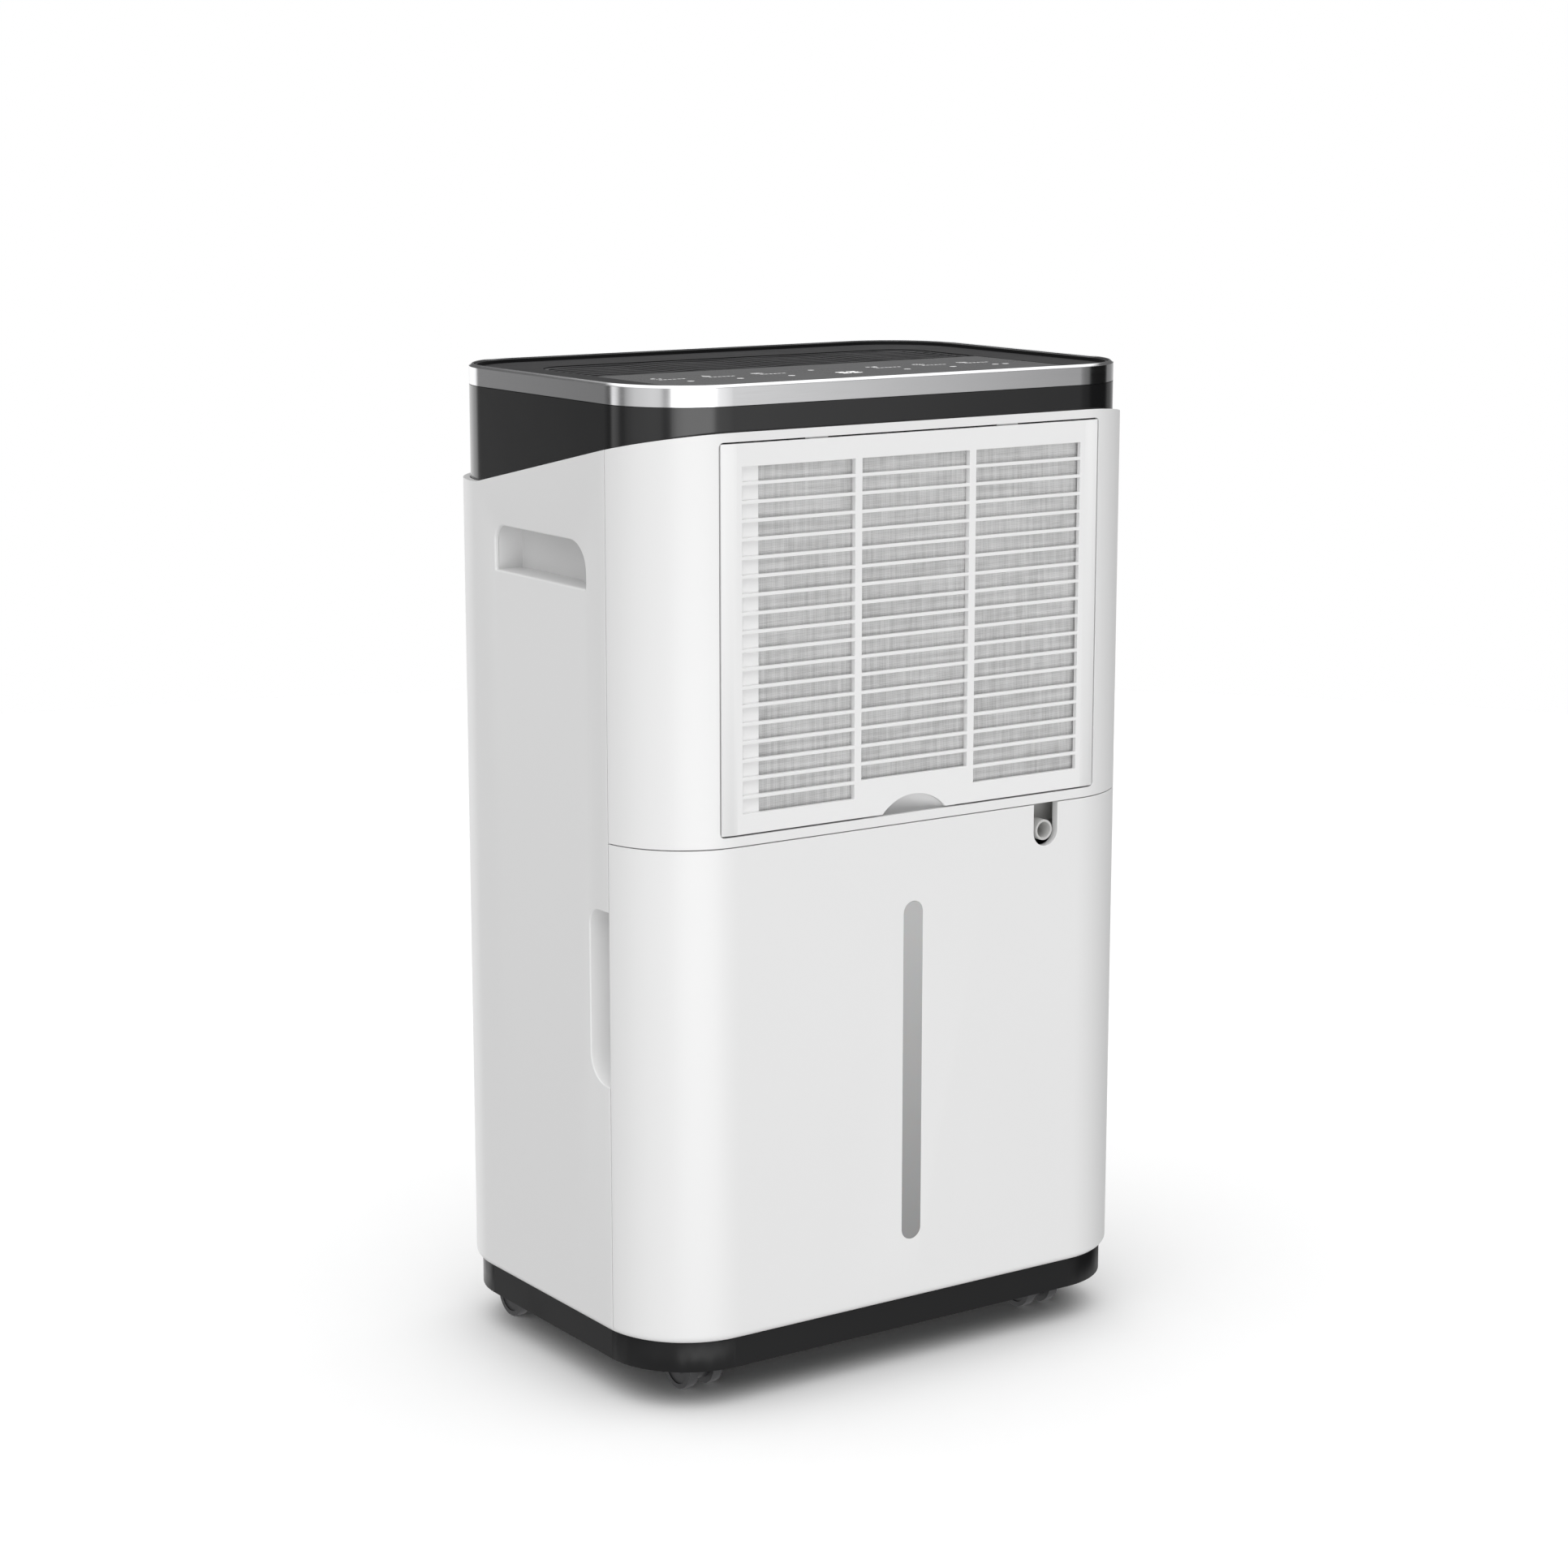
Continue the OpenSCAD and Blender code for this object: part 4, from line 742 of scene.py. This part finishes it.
def stadium(r, height, middle_z):
    """Upright slot with round ends."""
    half = height / 2 - r
    return arc((0, middle_z + half), r, 0, 180, 20) + arc((0, middle_z - half), r, 180, 360, 20)


def notch_points(grow, top):
    """U-shaped notch, open at the top."""
    x, r = NOTCH["x"], NOTCH["r"] + grow
    centre = (x, NOTCH["z"] + NOTCH["r"])
    return [(x + r, top), (x - r, top)] + arc(centre, r, 180, 360, 20)


def build_bucket_front():
    section = bottom_fillet() + [(0, BUCKET_TOP_Z), (SHELL_T, BUCKET_TOP_Z)] + LOWER_WALL
    mesh = mesh_from("bucket_front_shell", sweep(section, front_outline, closed=False))
    rim = prism(notch_points(NOTCH_WALL, BUCKET_TOP_Z), 1, *NOTCH_RIM_Y)
    mesh = boolean(mesh, rim, "UNION")
    notch = prism(notch_points(0, BUCKET_TOP_Z + MM), 1, -REAR - MM, -REAR + 9 * MM)
    mesh = boolean(mesh, notch, "DIFFERENCE")
    slot = prism(stadium(WINDOW_R, WINDOW_H, WINDOW_MID_Z), 1, -REAR - MM, -REAR + CUT)
    mesh = boolean(mesh, slot, "DIFFERENCE")
    for sign in (-1, 1):
        append(mesh, edge_flange(sign, WHITE_Z + 4 * MM, BUCKET_TOP_Z))
        for x in STIFFENER_X:
            append(mesh, inner_plate(sign * x - STIFFENER_HALF, sign * x + STIFFENER_HALF,
                                     -REAR + SHELL_T, -REAR + 5 * MM, *STIFFENER_Z))
    white_piece("bucket_front_shell", mesh, "bucket_front", "bucket")


# ---------------------------------------------------------------- top: surround, rim and marks

LIP_Z = BODY_H - 0.8 * MM
PLATE_Z = 606 * MM
RIM_R = 0.3 * MM
RIM_STEP = 1.6 * MM
RIM_LEDGE = 0.15 * MM
RIM_TILT = math.radians(48)
TRIM_T = 3 * MM
SURROUND_DROP = 9 * MM
SURROUND_T = 2.6 * MM
LIP_OUTER, LIP_INNER = 3.3 * MM, 5 * MM
LIP_CHAMFER = 0.2 * MM
PANEL_SEAT = 2.3 * MM


def fillet(inset, z, radius, start, steps=4):
    """Section points of a rounded outer edge whose last point is level: (inset, z) is its corner."""
    points = []
    for i in range(steps + 1):
        t = start + (math.pi / 2 - start) * i / steps
        points.append((inset + radius * (1 - math.cos(t)), z - radius * (1 - math.sin(t))))
    return points


def build_silver_trim():
    """Plated band with a rounded ledge and a leaning strip along its upper edge."""
    a, top = TOP_INSET, BODY_H
    ledge = top - RIM_STEP + RIM_R
    foot = a + RIM_R + RIM_LEDGE
    crown = foot + (top - ledge) * math.tan(RIM_TILT)
    section = [(a + 0.2 * MM, TRIM_Z), (a, TRIM_Z + 0.2 * MM), (a, TRIM_Z + 0.4 * MM),
               (a, ledge - RIM_R - 0.2 * MM)]
    section += fillet(a, ledge, RIM_R, 0) + [(foot, ledge)]
    section += [(foot + 0.03 * MM, ledge + 0.08 * MM)]
    section += fillet(crown - 0.1 * MM, top, RIM_R, RIM_TILT)
    section += [(a + TRIM_T - RIM_R, top), (a + TRIM_T, top - RIM_R), (a + TRIM_T, TRIM_Z)]
    mesh = mesh_from("silver_trim_band", sweep(section, full_outline, closed=True))
    shade_by_angle(mesh, 36)
    add_piece("silver_trim_band", mesh, SILVER, "housing", "silver_trim")


def louvre_opening():
    """Plan of the louvre opening: square at the front, round corners at the rear."""
    x, y, r = ISLAND_X, ISLAND_Y, ISLAND_R
    return ([(-x, GRILLE_Y0), (x, GRILLE_Y0)] + arc((x - r, y - r), r, 0, 90, 16)
            + arc((r - x, y - r), r, 90, 180, 16))


def surround_low(y):
    """Height of the black band's hidden lower edge."""
    return shoulder_z(y) - SURROUND_DROP


def build_top_surround():
    """Gloss black band with a standing lip round a sunk satin deck."""
    a = TOP_INSET
    lip0, lip1, inner = a + LIP_OUTER, a + LIP_INNER, a + SURROUND_T
    step = TRIM_Z - 0.2 * MM
    section = [(a, surround_low), (a, lambda y: surround_low(y) + 0.4 * MM),
               (a, step - 0.4 * MM), (a, step), (lip0, step), (lip0, LIP_Z - LIP_CHAMFER),
               (lip0 + LIP_CHAMFER, LIP_Z), (lip1 - LIP_CHAMFER, LIP_Z),
               (lip1, LIP_Z - LIP_CHAMFER), (lip1, PLATE_Z), (inner, PLATE_Z - 6 * MM),
               (inner, surround_low)]
    mesh = mesh_from("top_surround_shell", sweep(section, full_outline, closed=True))
    deck = prism(full_outline(a + 4 * MM), 2, PLATE_Z, DECK_Z)
    mesh = boolean(mesh, deck, "UNION")
    mesh = boolean(mesh, prism(louvre_opening(), 2, PLATE_Z - MM, BODY_H), "DIFFERENCE")
    x = ISLAND_X
    seat = [(-x, PANEL_LOW_Y), (x, PANEL_LOW_Y), (x, PANEL_HIGH_Y), (-x, PANEL_HIGH_Y)]
    mesh = boolean(mesh, prism(seat, 2, PANEL_TOP_Z - PANEL_SEAT, BODY_H), "DIFFERENCE")
    shade_by_angle(mesh)
    add_piece("top_surround_shell", mesh, BAND_BLACK, "housing", "top_surround")
    mesh.materials.append(DECK_BLACK)
    for face in mesh.polygons:
        if face.center.z > TRIM_Z and abs(face.normal.z) > 0.9:
            face.material_index = 1


def disc(x, y, radius, steps=20):
    """Round dot in plan."""
    return arc((x, y), radius, 0, 360, steps)[:-1]


def bar(x, y, width, depth):
    """Rectangle in plan about its middle."""
    return [(x - width / 2, y - depth / 2), (x + width / 2, y - depth / 2),
            (x + width / 2, y + depth / 2), (x - width / 2, y + depth / 2)]


def icon_shapes(kind, x, y):
    """Filled outlines of one plain symbol; any kind not listed is an open ring with a stroke."""
    line = ICON_LINE
    if kind == "drop":
        return [disc(x, y - MM, 2.6 * MM), [(x - 2 * MM, y + 0.6 * MM), (x + 2 * MM, y + 0.6 * MM),
                                            (x, y + 5 * MM)]]
    if kind == "waves":
        return [bar(x, y + k * 2.4 * MM, (8 - 1.5 * abs(k)) * MM, line) for k in (-1, 0, 1)]
    if kind == "fan":
        return [disc(x, y, 1.2 * MM)] + [disc(x + 3.1 * MM * math.cos(t), y + 3.1 * MM * math.sin(t),
                                              1.5 * MM) for t in (0.5, 2.6, 4.7)]
    if kind == "clock":
        return ring_segments(x, y, 4 * MM, line) + [bar(x, y + 1.2 * MM, line, 2.8 * MM),
                                                    bar(x + 1.1 * MM, y, 2.6 * MM, line)]
    if kind == "lock":
        return [bar(x, y - 1.4 * MM, 6 * MM, 4 * MM)] + ring_segments(x, y + 1.4 * MM, 2.2 * MM, line)
    return ring_segments(x, y, 3.6 * MM, line, 9) + [bar(x, y + 2.8 * MM, line, 3.6 * MM)]


def ring_segments(x, y, radius, line, count=12):
    """A circle drawn as short bars."""
    shapes = []
    for i in range(count):
        t = 2 * math.pi * i / 12 + 2.2
        u = Vector((math.cos(t), math.sin(t)))
        v = Vector((-u.y, u.x)) * radius * 0.3
        inner, outer = u * (radius - line), u * radius
        shapes.append([(x + q.x, y + q.y) for q in (inner - v, outer - v, outer + v, inner + v)])
    return shapes


KEYS = [(-118, "power"), (-83, "drop"), (-46, "waves"), (40, "fan"), (75, "clock"), (108, "lock")]
KEY_Y = -36 * MM
ICON_LINE = 1.3 * MM
CAPTION_Y = KEY_Y - 7 * MM
CAPTION_W, CAPTION_DEPTH, CAPTION_STEP = 2.2 * MM, 2 * MM, 3.2 * MM
DOT_Y = -60 * MM
DOT_R = 2.2 * MM
PRINT_Z = (PANEL_TOP_Z + 0.01 * MM, PANEL_TOP_Z + 0.05 * MM)
DISPLAY_X = 4 * MM
DISPLAY_STEP = 4 * MM
DISPLAY_W = 6 * MM
DISPLAY_LINE = 1.8 * MM


def build_panel_marks():
    """Printed symbols, caption bars, indicator dots and a small lit display on the touch film."""
    shapes = []
    for place, kind in KEYS:
        x = place * MM
        shapes += icon_shapes(kind, x - 5 * MM, KEY_Y)
        shapes += [bar(x + 3.5 * MM + k * CAPTION_STEP, CAPTION_Y, CAPTION_W, CAPTION_DEPTH)
                   for k in range(-3, 3)]
        shapes.append(disc(x + 4 * MM, DOT_Y, DOT_R))
    shapes += [disc(-10 * MM, KEY_Y + 2 * MM, 2 * MM), disc(120 * MM, DOT_Y, DOT_R)]
    marks = bmesh.new()
    for points in shapes:
        thin_plate(marks, points, *PRINT_Z)
    add_piece("panel_marks", mesh_from("panel_marks", marks), ICON_WHITE, "housing")
    lit = bmesh.new()
    for k in (-1, 1):
        for step in (-1, 0, 1):
            y = DOT_Y + step * DISPLAY_STEP
            thin_plate(lit, bar(k * DISPLAY_X, y, DISPLAY_W, DISPLAY_LINE), *PRINT_Z)
    add_piece("panel_display", mesh_from("panel_display", lit), DISPLAY_LIT, "housing")


def thin_plate(bm, points, low, high):
    """Adds one closed flat plate to a bmesh."""
    under = [bm.verts.new((x, y, low)) for x, y in points]
    over = [bm.verts.new((x, y, high)) for x, y in points]
    bm.faces.new(list(reversed(under)))
    bm.faces.new(over)
    for i in range(len(points)):
        j = (i + 1) % len(points)
        bm.faces.new((under[i], under[j], over[j], over[i]))


# ---------------------------------------------------------------- scene set-up

CAMERA_PLACE = (-1.2318, -1.7952, 0.7831)
CAMERA_DOWN, CAMERA_TURN = 11.318, -34.311
CAMERA_LENS = 80.28
FLOOR_R = 2.4


def add_camera():
    """Front, left side and a little of the top, from just above the deck."""
    data = bpy.data.cameras.new("camera")
    data.sensor_width = 36
    data.lens = CAMERA_LENS
    camera = bpy.data.objects.new("camera", data)
    camera.location = CAMERA_PLACE
    camera.rotation_euler = (math.radians(90 - CAMERA_DOWN), 0, math.radians(CAMERA_TURN))
    bpy.context.scene.collection.objects.link(camera)
    bpy.context.scene.camera = camera


def add_floor():
    """Plain pale floor."""
    bm = bmesh.new()
    bmesh.ops.create_circle(bm, cap_ends=True, segments=96, radius=FLOOR_R)
    mesh = bpy.data.meshes.new("studio_floor")
    bm.to_mesh(mesh)
    bm.free()
    floor = bpy.data.objects.new("studio_floor", mesh)
    bpy.context.scene.collection.objects.link(floor)
    mesh.materials.append(moulded("floor_paint", (0.93, 0.93, 0.93), roughness=0.85, drift=0.004,
                                  depth=0.01, spread=0.02, specular=0.2))
    floor.visible_diffuse = False
    floor.visible_glossy = False
    floor.visible_shadow = False


# Radiance round the room just under eye level: azimuth in degrees from the front towards the
# object's left side, then brightness. Soft boxes and dark flags shape the reflections.
ROOM = [(-180, 1.3), (-150, 0.9), (-110, 0.30), (-97, 0.24), (-92, 0.01), (-57, 0.01), (-52, 0.18),
        (-44, 0.22), (-40, 0.31), (-33, 0.92), (-24, 1.05), (-12, 1.15), (-7, 2.6), (-4, 3.0),
        (28, 3.0), (38, 2.6), (45, 1.6), (48, 0.6), (54, 0.42), (60, 0.8), (70, 0.84), (94, 0.72),
        (106, 0.5), (112, 0.24), (117, 0.3), (122, 0.8), (130, 1.1), (135, 0.1), (141, 0.14),
        (152, 0.28), (158, 0.3), (164, 1.3)]
KEY_AZIMUTH = 50
KEY_LOW, KEY_HIGH = 0.15, 0.8
TOP_GLOW, LOW_GLOW = 1.6, 0.5
ROOM_RISE, KEY_RISE, TOP_RISE = (-0.45, -0.40), (-0.02, 0.06), (0.50, 0.65)


def key_stops():
    """Broad bright lobe above eye level, as ramp stops round the room."""
    stops = []
    for azimuth in range(-180, 181, 15):
        lobe = max(0.0, math.cos(math.radians(azimuth - KEY_AZIMUTH))) ** 1.5
        stops.append((azimuth, KEY_LOW + (KEY_HIGH - KEY_LOW) * lobe))
    return stops


def add_world():
    """Soft light from all round in layers by height; the camera itself sees plain white."""
    world = bpy.data.worlds.new("studio")
    bpy.context.scene.world = world
    world.use_nodes = True
    tree = world.node_tree
    tree.nodes.clear()
    g = Graph(tree)
    direction = g.add("ShaderNodeTexCoord").outputs["Generated"]
    parts = g.add("ShaderNodeSeparateXYZ", {0: direction})
    azimuth = g.math("ARCTAN2", g.math("MULTIPLY", parts.outputs[0], -1.0),
                     g.math("MULTIPLY", parts.outputs[1], -1.0))
    turn = g.math("ADD", g.math("DIVIDE", azimuth, 2 * math.pi), 0.5)

    def ring(stops):
        return g.ramp(turn, [((a + 180) / 360, value) for a, value in stops])

    def layer(below, above, start, end):
        rise = g.add("ShaderNodeMapRange", {"Value": parts.outputs[2], "From Min": start,
                                            "From Max": end})
        return g.add("ShaderNodeMix", {0: rise.outputs[0], 6: below, 7: above},
                     data_type="RGBA").outputs[2]

    glow = layer(grey(LOW_GLOW), ring(ROOM), *ROOM_RISE)
    glow = layer(glow, ring(key_stops()), *KEY_RISE)
    glow = layer(glow, grey(TOP_GLOW), *TOP_RISE)
    room = g.add("ShaderNodeBackground", {"Color": glow, "Strength": 1.0})
    seen = g.add("ShaderNodeBackground", {"Color": grey(1.0), "Strength": 1.0})
    is_camera = g.add("ShaderNodeLightPath").outputs["Is Camera Ray"]
    blend = g.add("ShaderNodeMixShader", {0: is_camera, 1: room.outputs[0], 2: seen.outputs[0]})
    g.add("ShaderNodeOutputWorld", {"Surface": blend.outputs[0]})
    bpy.context.scene.view_settings.view_transform = "Standard"


# ---------------------------------------------------------------- assembly

dress_cad_nodes()
build_rear_housing()
build_front_panel()
build_bucket_front()
build_silver_trim()
build_top_surround()
build_panel_marks()
add_camera()
add_floor()
add_world()
